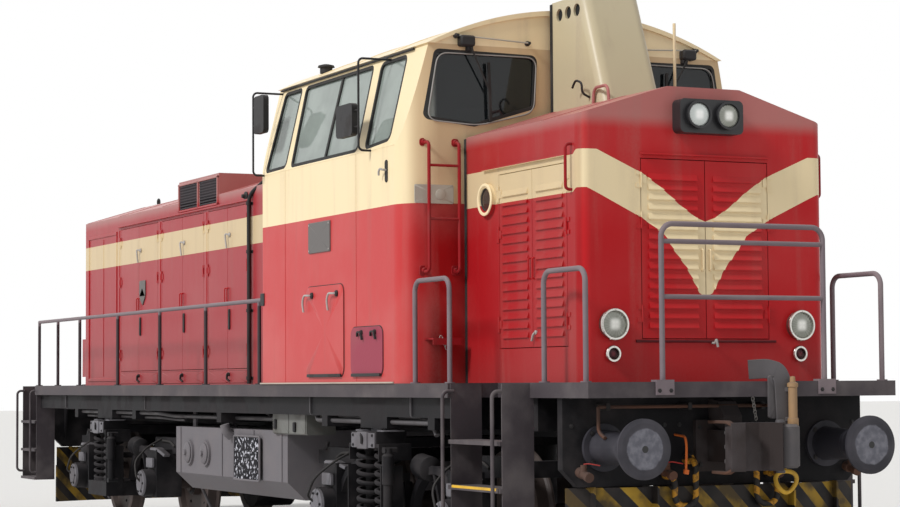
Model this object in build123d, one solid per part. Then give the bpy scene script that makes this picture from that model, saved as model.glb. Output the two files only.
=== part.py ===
from build123d import *
import math
import os

os.makedirs("parts", exist_ok=True)

# A four-axle diesel locomotive: X runs along it, +X at the short hood, Z is up from the flange tips.
# Lengths are in millimetres. Heights above the rail top get FLANGE added to them.

# Track and wheels
FLANGE = 28
WHEEL_RADIUS = 500
WHEEL_WIDTH = 135
WHEEL_BACK = 720
RIM_DEPTH = 70
HUB_RADIUS = 140
AXLE_RADIUS = 85
JOURNAL_RADIUS = 65
JOURNAL_END = 1235
BEARING_GAP = 0.5

# Bogies
BOGIE_X = 3620
WHEELBASE = 2450
FRAME_Y = (1010, 1120)
FRAME_END = 1690
FRAME_TOP = FLANGE + 960
FRAME_LOW = FLANGE + 330
FRAME_DROP = 150
BOX_SIZE = 290
BOX_FACE = 1290
COVER_FACE = 1420
SPRING_WIRE = 36
SPRING_OUTER = 216
SPRING_X = 180
SPRING_Y = 1375
SPRING_TURNS = 7
YOKE_LOW = FLANGE + 1000
YOKE_TOP = FLANGE + 1125
YOKE_HALF = 245
PIVOT_RADIUS = 190
SHOE_THICK = 45
SHOE_GAP = 14

# Underframe and deck
BUFFER_FACE = 7000
BUFFER_Y = 915
BUFFER_Z = FLANGE + 1050
BUFFER_HEAD = 410
DECK_TOP = FLANGE + 1500
DECK_PLATE = 40
FASCIA = 107
FASCIA_PLATE = 12
DECK_HALF = 1490
DECK_END = 6830
END_HALF = 1250
STEP_X = (5140, 5980)
FAR_STEP_X = (6200, 6815)
STEP_BACK = 1080
STEP_LOW = FLANGE + 400
STEP_RISE = 330
STEP_PLATE = 12
TREAD = 30
SILL_BOTTOM = FLANGE + 1090
SILL_Y = (450, 570)
HEADSTOCK_X = (6350, 6420)
HEADSTOCK_BOTTOM = FLANGE + 780

# Railings
RAIL_DIAMETER = 38
RAIL_BEND = 90
RAIL_INSET = 25
HOOP_HEIGHT = 773
END_RAIL_Y = 660
END_RAIL_TOP = FLANGE + 2580
END_RAIL_BARS = (FLANGE + 2460, FLANGE + 2080)
WALKWAY_RAIL_Z = FLANGE + 2244
WALKWAY_POSTS = (1150, -280, -1660, -3070, -4480, -5360, -6150)
BRACKET = (70, 14, 90)

# Hoods
HOOD_HALF = 1015
HOOD_SHOULDER = FLANGE + 3380
HOOD_RIDGE = FLANGE + 3600
HOOD_FLAT = 300
HOOD_WALL = 30
HOOD_CORNER = 80
SHORT_HOOD_X = (4500, 6310)
LONG_HOOD_X = (-5800, 1240)
SIDE_DOOR_X = (5050, 6120)
SIDE_DOOR_Z = (FLANGE + 1750, FLANGE + 3050)
FRONT_DOOR_Y = 530
FRONT_DOOR_Z = (FLANGE + 1800, FLANGE + 3080)
BAY_POSTS = (-4430, -2980, -1510, -250)
BAY_POST_HALF = 70
BAY_DOOR_Z = (FLANGE + 1650, FLANGE + 3230)
GUTTER = 26
INTAKE_X = (-2360, -1133)
DOOR_GAP = 6
LEAF_THICK = 30
LOUVRE_PITCH = 70
LOUVRE_OUT = 14
LOUVRE_TALL = 46
KNUCKLE_RADIUS = 6
KNUCKLE_OUT = 7
KNUCKLE_LENGTH = 60
STRAP = (40, 6)
HANDLE_OUT = 20

# Cab
CAB_X = (1300, 4440)
CAB_HALF = DECK_HALF
CAB_WALL = 45
CAB_SILL = FLANGE + 3340
CAB_EAVE = FLANGE + 4110
CAB_LEAN = 190
CAB_CORNER = 260
CAB_REAR_CORNER = 55
CAB_DOOR_MARGIN = (30, 65)
CAB_DOOR_Z = (DECK_TOP + 60, DECK_TOP + 1840)
ROOF_TOP = FLANGE + 4430
ROOF_PLATE = 40
ROOF_OVERHANG = 20
WINDOW_BOTTOM = FLANGE + 3350
WINDOW_TOP = FLANGE + 4070
WINDOW_EDGE = 95
DIVIDER_X = CAB_X[0] + 1460
DIVIDER_HALF = 18
FRAME_BAR = 28
GLASS = 6
GLASS_DEPTH = 18

# Exhaust housing in front of the cab
STACK_HALF = 260
STACK_X = (4500, 5330)
STACK_TOP_X = 4985
STACK_TOP = FLANGE + 4470
STACK_HOLE = 50

# Engine, fuel tank and what stands in the cab
ENGINE_X = (-4100, -500)
ENGINE_HALF = 550
ENGINE_TOP = FLANGE + 2850
TANK_X = (-1530, 1500)
TANK_LOW = FLANGE + 480
TANK_HALF = 1320
DESK_DEPTH = 540
DESK_HEIGHT = 900
SEAT_SIZE = 460
SEAT_HEIGHT = 450

RUNNING_GAP = 0.3


def block(x, y, z):
    """A box between its low and high values on each axis."""
    size = (x[1] - x[0], y[1] - y[0], z[1] - z[0])
    middle = ((x[0] + x[1]) / 2, (y[0] + y[1]) / 2, (z[0] + z[1]) / 2)
    return Pos(*middle) * Box(*size)


def span(sign, low, high):
    """The two values on the side that sign gives, the lower first."""
    return tuple(sorted((sign * low, sign * high)))


def both_sides(shapes):
    """The shapes and their mirror images across the locomotive's long middle plane."""
    return shapes + [shape.mirror(Plane.XZ) for shape in shapes]


def both_ends(shapes):
    """The shapes and their mirror images across the middle of the length."""
    return shapes + [shape.mirror(Plane.YZ) for shape in shapes]


def disc(centre, axis, radius, length):
    """A cylinder from its centre point at one end, along an axis."""
    return Plane(origin=Vector(*centre), z_dir=Vector(*axis)) * Cylinder(
        radius, length, align=(Align.CENTER, Align.CENTER, Align.MIN))


def rod(start, end, diameter):
    """A round bar between two points."""
    along = Vector(*end) - Vector(*start)
    return disc(start, tuple(along), diameter / 2, along.length)


def bent_tube(points, diameter, bend):
    """A round bar that follows the points, with each corner bent to the given radius."""
    path = FilletPolyline(*points, radius=bend)
    section = Plane(origin=path @ 0, z_dir=path % 0) * Circle(diameter / 2)
    return sweep(section, path)


def profile_along_x(points, x):
    """A YZ outline carried from one X to another."""
    face = make_face(Polyline(*[(0, y, z) for y, z in points], close=True))
    return Pos(x[0], 0, 0) * extrude(face, x[1] - x[0], dir=(1, 0, 0))


def profile_along_y(points, y):
    """An XZ outline carried from one Y to another."""
    face = make_face(Polyline(*[(x, 0, z) for x, z in points], close=True))
    return Pos(0, y[0], 0) * extrude(face, y[1] - y[0], dir=(0, 1, 0))


def profile_along_z(points, z):
    """An XY outline carried from one Z to another."""
    face = make_face(Polyline(*[(x, y, 0) for x, y in points], close=True))
    return Pos(0, 0, z[0]) * extrude(face, z[1] - z[0], dir=(0, 0, 1))


def fuse(shapes):
    """One solid out of pieces that meet."""
    whole = shapes[0]
    for shape in shapes[1:]:
        whole = whole + shape
    return whole


def save(name, shapes):
    """Writes one node."""
    solids = [solid for shape in shapes for solid in shape.solids()]
    export_step(Compound(solids), f"parts/{name}.step")


# Wheelsets: an axle with two wheels, turned as one profile of radius against distance from the middle

def wheelset():
    tread, back = WHEEL_RADIUS, WHEEL_BACK
    face = back + WHEEL_WIDTH
    rim = tread - RIM_DEPTH
    web = (back + 45, back + 75)
    half = [(AXLE_RADIUS, back - 15), (HUB_RADIUS, back - 15), (HUB_RADIUS, web[0]), (rim, web[0]),
            (rim, back),
            (tread + 20, back), (tread + FLANGE, back + 8), (tread + FLANGE, back + 22),
            (tread + 12, back + 32), (tread, back + 45), (tread - 4, face), (rim, face),
            (rim, web[1]), (HUB_RADIUS, web[1]), (HUB_RADIUS, face + 10), (AXLE_RADIUS + 10, face + 10),
            (AXLE_RADIUS + 10, face + 40), (JOURNAL_RADIUS, face + 50), (JOURNAL_RADIUS, JOURNAL_END),
            (0, JOURNAL_END)]
    mirrored = [(r, -y) for r, y in reversed(half)]
    outline = make_face(Polyline(*[(r, y) for r, y in mirrored + half], close=True))
    return Pos(0, 0, FLANGE + tread) * revolve(outline, Axis.Y)


# Bogies: side frames that drop between the axles, axle boxes on arched arms, brake shoes on the wheels,
# a spring seat each side and a tall pivot post in the middle

def side_frame():
    arch = WHEELBASE / 2 - 420
    seat = FRAME_LOW + FRAME_DROP
    outline = [(-FRAME_END, FRAME_TOP), (-FRAME_END, FRAME_TOP - 150), (-arch - 60, FRAME_TOP - 190),
               (-arch + 90, FRAME_LOW), (arch - 90, FRAME_LOW), (arch + 60, FRAME_TOP - 190),
               (FRAME_END, FRAME_TOP - 150), (FRAME_END, FRAME_TOP), (arch + 20, FRAME_TOP),
               (arch - 160, seat), (-arch + 160, seat), (-arch - 20, FRAME_TOP)]
    return profile_along_y(outline, FRAME_Y)


def axle_box(way):
    """The box round one journal, its cover and the arched arm that ties it to the spring seat's cheek."""
    axle_x = way * WHEELBASE / 2
    axle_z = FLANGE + WHEEL_RADIUS
    half = BOX_SIZE / 2
    width = (axle_x - half, axle_x + half)
    housing = block(width, (FRAME_Y[0] + 10, BOX_FACE), (axle_z - half, FRAME_TOP - 120))
    housing = housing + disc((axle_x, BOX_FACE - 1, axle_z), (0, 1, 0), half - 5, COVER_FACE - BOX_FACE - 24)
    housing = housing + disc((axle_x, BOX_FACE - 1, axle_z), (0, 1, 0), half - 45, COVER_FACE - BOX_FACE + 1)
    start = (axle_x - way * (half - 30), axle_z + half - 40)
    crown = (axle_x - way * 420, axle_z + 330)
    foot = (way * (YOKE_HALF + 70), FRAME_LOW + FRAME_DROP + 20)
    line = ThreePointArc((start[0], 0, start[1]), (crown[0], 0, crown[1]), (foot[0], 0, foot[1]))
    section = Plane(origin=line @ 0, x_dir=(0, 1, 0), z_dir=line % 0) * Rectangle(70, 60)
    arm = Pos(0, BOX_FACE - 80, 0) * sweep(section, line)
    return housing + arm


def brake_shoe(way):
    """A shoe that hugs the inner side of one tread, on a hanger from the side frame."""
    axle_x = way * WHEELBASE / 2
    axle_z = FLANGE + WHEEL_RADIUS
    inner = WHEEL_RADIUS + SHOE_GAP
    y = (WHEEL_BACK + 50, WHEEL_BACK + WHEEL_WIDTH - 5)
    ring = disc((axle_x, y[0], axle_z), (0, 1, 0), inner + SHOE_THICK, y[1] - y[0])
    ring = ring - disc((axle_x, y[0] - 1, axle_z), (0, 1, 0), inner, y[1] - y[0] + 2)
    reach = span(way, WHEELBASE / 2 - inner - 2 * SHOE_THICK, WHEELBASE / 2 - inner * 0.88)
    shoe = ring & block(reach, y, (axle_z - 170, axle_z + 190))
    hanger_x = axle_x - way * (inner + SHOE_THICK / 2)
    hanger = block((hanger_x - 18, hanger_x + 18), (y[1] - 45, y[1] - 10), (axle_z - 60, FRAME_TOP - 200))
    arm_z = (FRAME_TOP - 260, FRAME_TOP - 200)
    arm = block((hanger_x - 25, hanger_x + 25), (y[1] - 45, FRAME_Y[0] + 5), arm_z)
    foot = block(span(way, abs(hanger_x) - 25, abs(hanger_x) + 110), (FRAME_Y[0] - 90, FRAME_Y[0] + 5),
                 (FRAME_TOP - 260, FRAME_TOP - 200))
    return fuse([shoe, hanger, arm, foot])


def bogie_frame():
    seat = FRAME_LOW + FRAME_DROP
    halves = [side_frame()]
    halves += [axle_box(way) for way in (-1, 1)]
    halves += [brake_shoe(way) for way in (-1, 1)]
    cheek = YOKE_HALF + 70
    halves.append(block((-cheek, cheek), (FRAME_Y[0], SPRING_Y + 130), (FRAME_LOW, seat)))
    for way in (-1, 1):
        x = span(way, cheek, cheek + 14)
        halves.append(block(x, (SPRING_Y - 60, SPRING_Y + 130), (FRAME_LOW, seat + 380)))
    pieces = both_sides(halves)
    half = PIVOT_RADIUS + 40
    pieces.append(block((-half, half), (-FRAME_Y[0], FRAME_Y[0]), (FRAME_LOW, seat)))
    pieces.append(disc((0, 0, seat), (0, 0, 1), PIVOT_RADIUS, SILL_BOTTOM + 60 - RUNNING_GAP - seat))
    for way in (-1, 1):
        beam = (FRAME_TOP - 150, FRAME_TOP - 30)
        pieces.append(block(span(way, FRAME_END + 80, FRAME_END + 200), (-FRAME_Y[1], FRAME_Y[1]), beam))
        pieces += both_sides([block(span(way, FRAME_END - 5, FRAME_END + 200), FRAME_Y, beam)])
    whole = fuse(pieces)
    for way in (-1, 1):
        centre = (way * WHEELBASE / 2, -JOURNAL_END - 5, FLANGE + WHEEL_RADIUS)
        whole = whole - disc(centre, (0, 1, 0), JOURNAL_RADIUS + BEARING_GAP, 2 * JOURNAL_END + 10)
    return whole


# Springs: each coil is wound from half turns, every half turn revolved round its own tilted axis, so that
# each runs on smoothly into the next, with a ground ring at each end, and each pair stands in a yoke

def coil():
    low = FRAME_LOW + FRAME_DROP + RUNNING_GAP
    high = YOKE_LOW - RUNNING_GAP
    half = SPRING_WIRE / 2
    radius = SPRING_OUTER / 2 - half
    pitch = (high - low - SPRING_WIRE) / SPRING_TURNS
    turns = []
    for number in range(2 * SPRING_TURNS):
        way = 1 if number % 2 == 0 else -1
        start = low + half + number * pitch / 2
        section = Plane.XZ * Pos(way * radius, start, 0) * RegularPolygon(half, 12)
        axis = Axis((0, 0, start + pitch / 4), (way * pitch / 4, 0, radius))
        turns.append(revolve(section, axis, 180))
    wound = turns[0].fuse(*turns[1:])
    for base in (low, high - half - 2):
        end_ring = disc((0, 0, base), (0, 0, 1), radius + half - 1, half + 2)
        wound = wound + (end_ring - disc((0, 0, base - 1), (0, 0, 1), radius - half + 1, half + 4))
    return Pos(0, SPRING_Y, 0) * wound


def yoke():
    """The box that bears on a pair of coils, with a cap, side cheeks and a beam to the other side."""
    y = (SPRING_Y - 150, SPRING_Y + 130)
    half = YOKE_HALF + 50
    cap = block((-half, half), y, (YOKE_LOW, YOKE_LOW + 30))
    box = block((-YOKE_HALF, YOKE_HALF), (y[0] + 20, y[1]), (YOKE_LOW + 30, YOKE_TOP))
    lips = [block(span(way, half - 12, half), y, (YOKE_LOW - 100, YOKE_LOW + 30)) for way in (-1, 1)]
    return fuse([cap, box] + lips)


def bogie_springs():
    half = PIVOT_RADIUS + 50
    bolster = block((-half, half), (-SPRING_Y + 130, SPRING_Y - 130), (YOKE_LOW, SILL_BOTTOM - 15))
    whole = fuse(both_sides([yoke()]) + [bolster])
    whole = whole - disc((0, 0, YOKE_LOW), (0, 0, 1), PIVOT_RADIUS + RUNNING_GAP, YOKE_TOP - YOKE_LOW)
    wound = coil()
    return [whole] + both_sides([Pos(x, 0, 0) * wound for x in (-SPRING_X, SPRING_X)])


def bogie_gear():
    """A gear housing round each axle, each with a torque arm towards the pivot."""
    axle_z = FLANGE + WHEEL_RADIUS
    pieces = []
    for way in (-1, 1):
        axle_x = way * WHEELBASE / 2
        housing = disc((axle_x, -210, axle_z), (0, 1, 0), 270, 420)
        reach = span(way, PIVOT_RADIUS + 40, WHEELBASE / 2 - 200)
        arm = block(reach, (-150, 150), (FRAME_LOW + 20, FRAME_LOW + 140))
        bore = disc((axle_x, -300, axle_z), (0, 1, 0), AXLE_RADIUS + BEARING_GAP, 600)
        pieces.append(housing + arm - bore)
    return pieces


# Underframe: two deep sills, two edge sills and the cross beams between them, all above the wheels

def underframe():
    top = DECK_TOP - DECK_PLATE
    edge = DECK_HALF - 70
    between_steps = (-FAR_STEP_X[0] + 20, STEP_X[0] - 20)
    pieces = both_sides([block((-HEADSTOCK_X[0], HEADSTOCK_X[0]), SILL_Y, (SILL_BOTTOM, top)),
                         block(between_steps, (edge - 40, edge), (DECK_TOP - 260, top))])
    for x, half_length, half_width in ((0, 60, edge), (BOGIE_X, 260, edge), (BOGIE_X - 1020, 60, edge),
                                       (BOGIE_X + 1080, 60, edge), (BOGIE_X + 1980, 60, END_HALF - 230)):
        for sign in ((1,) if x == 0 else (-1, 1)):
            reach = (sign * x - half_length, sign * x + half_length)
            pieces.append(block(reach, (-half_width, half_width), (SILL_BOTTOM + 60, top)))
    return fuse(pieces)


# Headstocks: the buffer beams, with cut-off lower corners and gusset plates behind the buffers

def headstock():
    half, corner = END_HALF - 20, 120
    top = DECK_TOP - DECK_PLATE
    outline = [(-half, top), (-half, HEADSTOCK_BOTTOM + corner), (-half + corner, HEADSTOCK_BOTTOM),
               (half - corner, HEADSTOCK_BOTTOM), (half, HEADSTOCK_BOTTOM + corner), (half, top)]
    plate = profile_along_x(outline, HEADSTOCK_X)
    behind = HEADSTOCK_X[0]
    low = HEADSTOCK_BOTTOM + 60
    gusset = [(behind - 180, top), (behind, low), (behind + 5, low), (behind + 5, top)]
    for y in (SILL_Y[1] + 120, BUFFER_Y + 160):
        plate = fuse([plate] + both_sides([profile_along_y(gusset, (y, y + 16))]))
    return plate


# Deck: a plate with a folded edge, cut back over the steps near the short hood and at the far corners

def deck_outline(inset):
    half = [(DECK_END - inset, END_HALF - inset), (STEP_X[1] + inset, END_HALF - inset),
            (STEP_X[1] + inset, STEP_BACK - inset), (STEP_X[0] - inset, STEP_BACK - inset),
            (STEP_X[0] - inset, DECK_HALF - inset), (-FAR_STEP_X[0] + inset, DECK_HALF - inset),
            (-FAR_STEP_X[0] + inset, END_HALF - inset), (-DECK_END + inset, END_HALF - inset)]
    return half + [(x, -y) for x, y in reversed(half)]


def deck():
    whole = profile_along_z(deck_outline(0), (DECK_TOP - FASCIA, DECK_TOP))
    hollow = (DECK_TOP - FASCIA - 1, DECK_TOP - DECK_PLATE)
    return whole - profile_along_z(deck_outline(FASCIA_PLATE), hollow)


# Corner steps: two stringers with treads between them and a bent grab rail on each stringer's edge

def corner_steps(x, root):
    """x is where the steps lie, and root the distance from the middle at which the stringers start."""
    outer = DECK_HALF - 20
    pieces = []
    for number in range(3):
        height = STEP_LOW + number * STEP_RISE
        tread = block(x, (END_HALF + 5, DECK_HALF), (height, height + TREAD))
        tray = block((x[0] + 40, x[1] - 40), (END_HALF + 45, DECK_HALF - 40), (height - 1, height + 14))
        pieces.append(tread - tray)
    grip = RAIL_DIAMETER - 10
    beside = grip / 2 + RUNNING_GAP
    for low, bar in ((x[0], x[0] + beside), (x[1] - STEP_PLATE, x[1] - beside)):
        pieces.append(block((low, low + STEP_PLATE), (root, outer), (STEP_LOW, DECK_TOP - 5)))
        path = [(bar, outer - 20, DECK_TOP - 60), (bar, outer + 70, DECK_TOP - 60),
                (bar, outer + 70, STEP_LOW + 90), (bar, outer - 20, STEP_LOW + 90)]
        pieces.append(bent_tube(path, grip, 45))
    return fuse(pieces)


def all_steps():
    near = corner_steps(STEP_X, END_HALF - 30)
    far = corner_steps((-FAR_STEP_X[1], -FAR_STEP_X[0]), END_HALF)
    return both_sides([near, far])


# Railings of bent tube, each post on a round foot or in an angle bracket over the deck's edge

def foot(x, y):
    return disc((x, y, DECK_TOP), (0, 0, 1), RAIL_DIAMETER, 8)


def hoop(x, y):
    top = DECK_TOP + HOOP_HEIGHT
    path = [(x[0], y, DECK_TOP), (x[0], y, top), (x[1], y, top), (x[1], y, DECK_TOP)]
    bar = bent_tube(path, RAIL_DIAMETER, RAIL_BEND)
    return fuse([bar] + [foot(end, y) for end in x])


def platform_hoops():
    beside_cab = hoop((CAB_X[1] + 45, STEP_X[0] - 45), DECK_HALF - RAIL_INSET - 15)
    beside_lamps = hoop((STEP_X[1] + 145, DECK_END - 103), END_HALF - RAIL_INSET - 15)
    return both_sides([beside_cab, beside_lamps])


def end_railing():
    x = DECK_END - RAIL_INSET
    path = [(x, -END_RAIL_Y, DECK_TOP), (x, -END_RAIL_Y, END_RAIL_TOP),
            (x, END_RAIL_Y, END_RAIL_TOP), (x, END_RAIL_Y, DECK_TOP)]
    pieces = [bent_tube(path, RAIL_DIAMETER, RAIL_BEND)]
    for height in END_RAIL_BARS:
        pieces.append(rod((x, -END_RAIL_Y, height), (x, END_RAIL_Y, height), RAIL_DIAMETER - 4))
    wide, thick, tall = BRACKET
    for y in (-END_RAIL_Y, END_RAIL_Y):
        across = (y - wide, y + wide)
        pieces.append(block((x - wide / 2, DECK_END + thick), across, (DECK_TOP, DECK_TOP + thick)))
        pieces.append(block((DECK_END, DECK_END + thick), across, (DECK_TOP - tall, DECK_TOP + thick)))
    return fuse(pieces)


def walkway_railing():
    y = DECK_HALF - RAIL_INSET - 15
    pieces = [rod((WALKWAY_POSTS[-1], y, WALKWAY_RAIL_Z), (CAB_X[0], y, WALKWAY_RAIL_Z), RAIL_DIAMETER)]
    for x in WALKWAY_POSTS:
        pieces.append(rod((x, y, DECK_TOP), (x, y, WALKWAY_RAIL_Z), RAIL_DIAMETER - 4))
        pieces.append(foot(x, y))
    return fuse(pieces)


# Buffers: a turned casing and plunger with a wide head, flat in the middle and rounded off at its rim

def buffer():
    start = HEADSTOCK_X[1]
    head = BUFFER_HEAD / 2
    back = BUFFER_FACE - 38
    profile = [(start, 0), (start, 165), (start + 28, 165), (start + 28, 122), (start + 330, 104),
               (start + 345, 112), (start + 380, 112), (start + 380, 78), (back - 60, 78), (back, 110),
               (back, head - 10), (back + 8, head), (BUFFER_FACE - 12, head), (BUFFER_FACE - 3, head - 30),
               (BUFFER_FACE, head - 70), (BUFFER_FACE, 0)]
    outline = make_face(Polyline(*[(x, r, 0) for x, r in profile], close=True))
    return Pos(0, BUFFER_Y, BUFFER_Z) * revolve(outline, Axis.X)


# Couplers: a cast claw with its guard arm, on a shank in the headstock, and the lock lifter's housing above

def coupler():
    start, face = HEADSTOCK_X[1], BUFFER_FACE
    shank = block((start, face - 180), (-95, 95), (BUFFER_Z - 110, BUFFER_Z + 110))
    collar = block((start, start + 40), (-190, 190), (BUFFER_Z - 180, BUFFER_Z + 180))
    outline = [(face - 260, -120), (face - 120, -215), (face, -235), (face, -125), (face - 110, -60),
               (face - 110, 60), (face - 50, 100), (face, 175), (face - 90, 245), (face - 220, 190)]
    head = profile_along_z(outline, (BUFFER_Z - 165, BUFFER_Z + 165))
    upright = [edge for edge in head.edges().filter_by(Axis.Z) if edge.center().X < face - 60]
    head = fillet(upright, 22)
    housing = [(start, BUFFER_Z + 175), (start + 200, BUFFER_Z + 100), (start + 200, BUFFER_Z + 210),
               (start + 120, BUFFER_Z + 310), (start, BUFFER_Z + 330)]
    lifter = profile_along_y(housing, (-60, 90))
    return fuse([shank, collar, head, lifter])


# Guards: a bent plate under each headstock that clears the rails, on four hangers

def guard():
    front = HEADSTOCK_X[0] + 270
    side = HEADSTOCK_X[0] + 50
    half = END_HALF - 70
    thick = 20
    outer = [(side, -half), (front - 60, -half + 480), (front, 0), (front - 60, half - 480), (side, half)]
    inner = [(x - thick, y * 0.99) for x, y in reversed(outer)]
    plate = profile_along_z(outer + inner, (FLANGE + 130, FLANGE + 560))
    for y, reach in ((half - 180, front - 165), (half - 620, front - 55)):
        hanger = block((HEADSTOCK_X[0] + 10, reach), (y - 8, y + 8), (FLANGE + 400, HEADSTOCK_BOTTOM))
        plate = fuse([plate] + both_sides([hanger]))
    return plate


# Brake hoses: short stiff hoses with both ends held on the headstock, one from its cock, one in its hook

def brake_hose(y, way):
    start = HEADSTOCK_X[1]
    out, low = start + 130, HEADSTOCK_BOTTOM - 140
    high, hook = BUFFER_Z - 90, HEADSTOCK_BOTTOM + 70
    aside = y + way * 170
    line = [(start, y, high), (out, y, high), (out, y, low),
            (out, aside, low), (out, aside, hook), (start, aside, hook)]
    hose = bent_tube(line, 42, 70)
    cock = disc((start, y, high), (1, 0, 0), 36, 60)
    eye = disc((start, aside, hook), (1, 0, 0), 30, 40)
    return fuse([hose, cock, eye])


# Hoods: a folded steel shell on the deck, with louvred doors, gutters, a lifting hook and air intakes

def hood_section(inset):
    slope = (HOOD_RIDGE - HOOD_SHOULDER) / (HOOD_HALF - HOOD_FLAT)
    half = HOOD_HALF - inset
    ridge = HOOD_RIDGE - inset
    drop = inset * math.hypot(1, slope)
    shoulder = HOOD_SHOULDER + slope * inset - drop
    flat = HOOD_HALF - (ridge - HOOD_SHOULDER + drop) / slope
    right = [(flat, ridge), (half, shoulder), (half, DECK_TOP)]
    return [(-y, z) for y, z in reversed(right)] + right


def hood_solid(x, front, inset):
    """front is +1 where the closed end faces +X, and -1 where it faces -X."""
    body = profile_along_x(hood_section(inset), x)
    far = x[1] if front > 0 else x[0]
    half = HOOD_HALF - inset
    plan = block(x, (-half, half), (DECK_TOP, HOOD_RIDGE))
    corners = [edge for edge in plan.edges().filter_by(Axis.Z) if abs(edge.center().X - far) < 1]
    plan = fillet(corners, HOOD_CORNER - inset)
    return body & plan


# Door leaves: folded plates hung on pin hinges, pressed with louvres in two columns, with a bow handle

def door_leaves():
    """One row for each leaf: name, the wall it hangs in, the hinge edge of its opening, the way the leaf
    runs from there, the way outwards, the opening's share that it covers, its heights, its louvres."""
    rows = []
    middle = sum(SIDE_DOOR_X) / 2
    for side, name in ((-1, "left"), (1, "right")):
        out = (0, side)
        rows.append((f"front_door_{name}", "short_hood", (SHORT_HOOD_X[1], side * FRONT_DOOR_Y), (0, -side),
                     (1, 0), FRONT_DOOR_Y, FRONT_DOOR_Z, True))
        for number, x, way in ((1, SIDE_DOOR_X[0], 1), (2, SIDE_DOOR_X[1], -1)):
            rows.append((f"short_hood_door_{name}_{number}", "short_hood", (x, side * HOOD_HALF), (way, 0),
                         out, abs(middle - x), SIDE_DOOR_Z, True))
        for bay, (low, high) in enumerate(zip(BAY_POSTS[:-1], BAY_POSTS[1:]), start=1):
            width = (high - low) / 2 - BAY_POST_HALF
            for letter, x, way in (("a", low + BAY_POST_HALF, 1), ("b", high - BAY_POST_HALF, -1)):
                rows.append((f"long_hood_door_{name}_{bay}{letter}", "long_hood", (x, side * HOOD_HALF),
                             (way, 0), out, width, BAY_DOOR_Z, False))
        cab_door = (HOOD_HALF + CAB_DOOR_MARGIN[0], CAB_HALF - CAB_DOOR_MARGIN[1])
        rows.append((f"cab_door_{name}", "cab_rear", (CAB_X[0], side * cab_door[0]), (0, side), (-1, 0),
                     cab_door[1] - cab_door[0] - DOOR_GAP / 2, CAB_DOOR_Z, False))
    return rows


def on_wall(row):
    """The row's own frame: X along the leaf from its hinge, Z up; and the sign of Y that points outwards."""
    corner, along, out = row[2], row[3], row[4]
    plane = Plane(origin=(corner[0], corner[1], 0), x_dir=(along[0], along[1], 0), z_dir=(0, 0, 1))
    return plane, along[0] * out[1] - along[1] * out[0]


def knuckles(row, of_leaf):
    """The barrels of the hinges: the middle one is the leaf's, the two outer ones are the frame's."""
    plane, sign = on_wall(row)
    half = KNUCKLE_LENGTH / 2
    middle = DOOR_GAP / 2
    low, high = row[6]
    pieces = []
    for height in (low + 180, (low + high) / 2 + 200, high - 150):
        spans = [(height - half, height + half)]
        if not of_leaf:
            apart = half + RUNNING_GAP
            spans = [(height - 2 * half, height - apart), (height + apart, height + 2 * half)]
        strap = (middle, middle + STRAP[0]) if of_leaf else (middle - STRAP[0], middle)
        for z in spans:
            barrel = disc((middle, sign * KNUCKLE_OUT, z[0]), (0, 0, 1), KNUCKLE_RADIUS, z[1] - z[0])
            pieces.append(plane * (barrel + block(strap, span(sign, 0, STRAP[1]), z)))
    return pieces


def louvre_rows(x, z, sign):
    """Pressed louvres: each is a hood that is open below, closed at its two ends."""
    lips = []
    lip = [(0, 0), (sign * LOUVRE_OUT, 0), (sign * LOUVRE_OUT, 6), (0, LOUVRE_TALL)]
    for number in range(int((z[1] - z[0] - 110) / LOUVRE_PITCH)):
        lips.append(Pos(0, 0, z[0] + 70 + number * LOUVRE_PITCH) * profile_along_x(lip, x))
    return lips


def leaf(row):
    plane, sign = on_wall(row)
    width, heights, louvres = row[5], row[6], row[7]
    x = (DOOR_GAP, width - DOOR_GAP / 2)
    z = (heights[0] + DOOR_GAP, heights[1] - DOOR_GAP)
    pieces = [block(x, span(sign, -LEAF_THICK, 0), z)]
    if louvres:
        pieces += louvre_rows((x[0] + 55, x[1] - 62), z, sign)
    handle_x = x[1] - 28
    low = (z[0] + z[1]) / 2 - 150
    bow = [(handle_x, -sign * 5, low), (handle_x, sign * HANDLE_OUT, low),
           (handle_x, sign * HANDLE_OUT, low + 150), (handle_x, -sign * 5, low + 150)]
    pieces.append(bent_tube(bow, 12, 12))
    return fuse([plane * fuse(pieces)] + knuckles(row, True))


def cut_leaves(shell, wall):
    """The wall with an opening for each of its leaves and the fixed barrels of their hinges."""
    rows = [row for row in door_leaves() if row[1] == wall]
    for row in rows:
        plane = on_wall(row)[0]
        shell = shell - plane * block((0, row[5] + DOOR_GAP / 2), (-60, 60), row[6])
    return fuse([shell] + [piece for row in rows for piece in knuckles(row, False)])


def gutter(x, z):
    """A thin drip rail along a hood side, over its doors."""
    return block(x, (HOOD_HALF - 2, HOOD_HALF + GUTTER), (z, z + 14))


def porthole(x, z):
    """A round window in a hood side: a proud ring with its glass set back."""
    ring = disc((x, HOOD_HALF - 2, z), (0, 1, 0), 118, 34)
    return ring - disc((x, HOOD_HALF + 12, z), (0, 1, 0), 88, 40)


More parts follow.
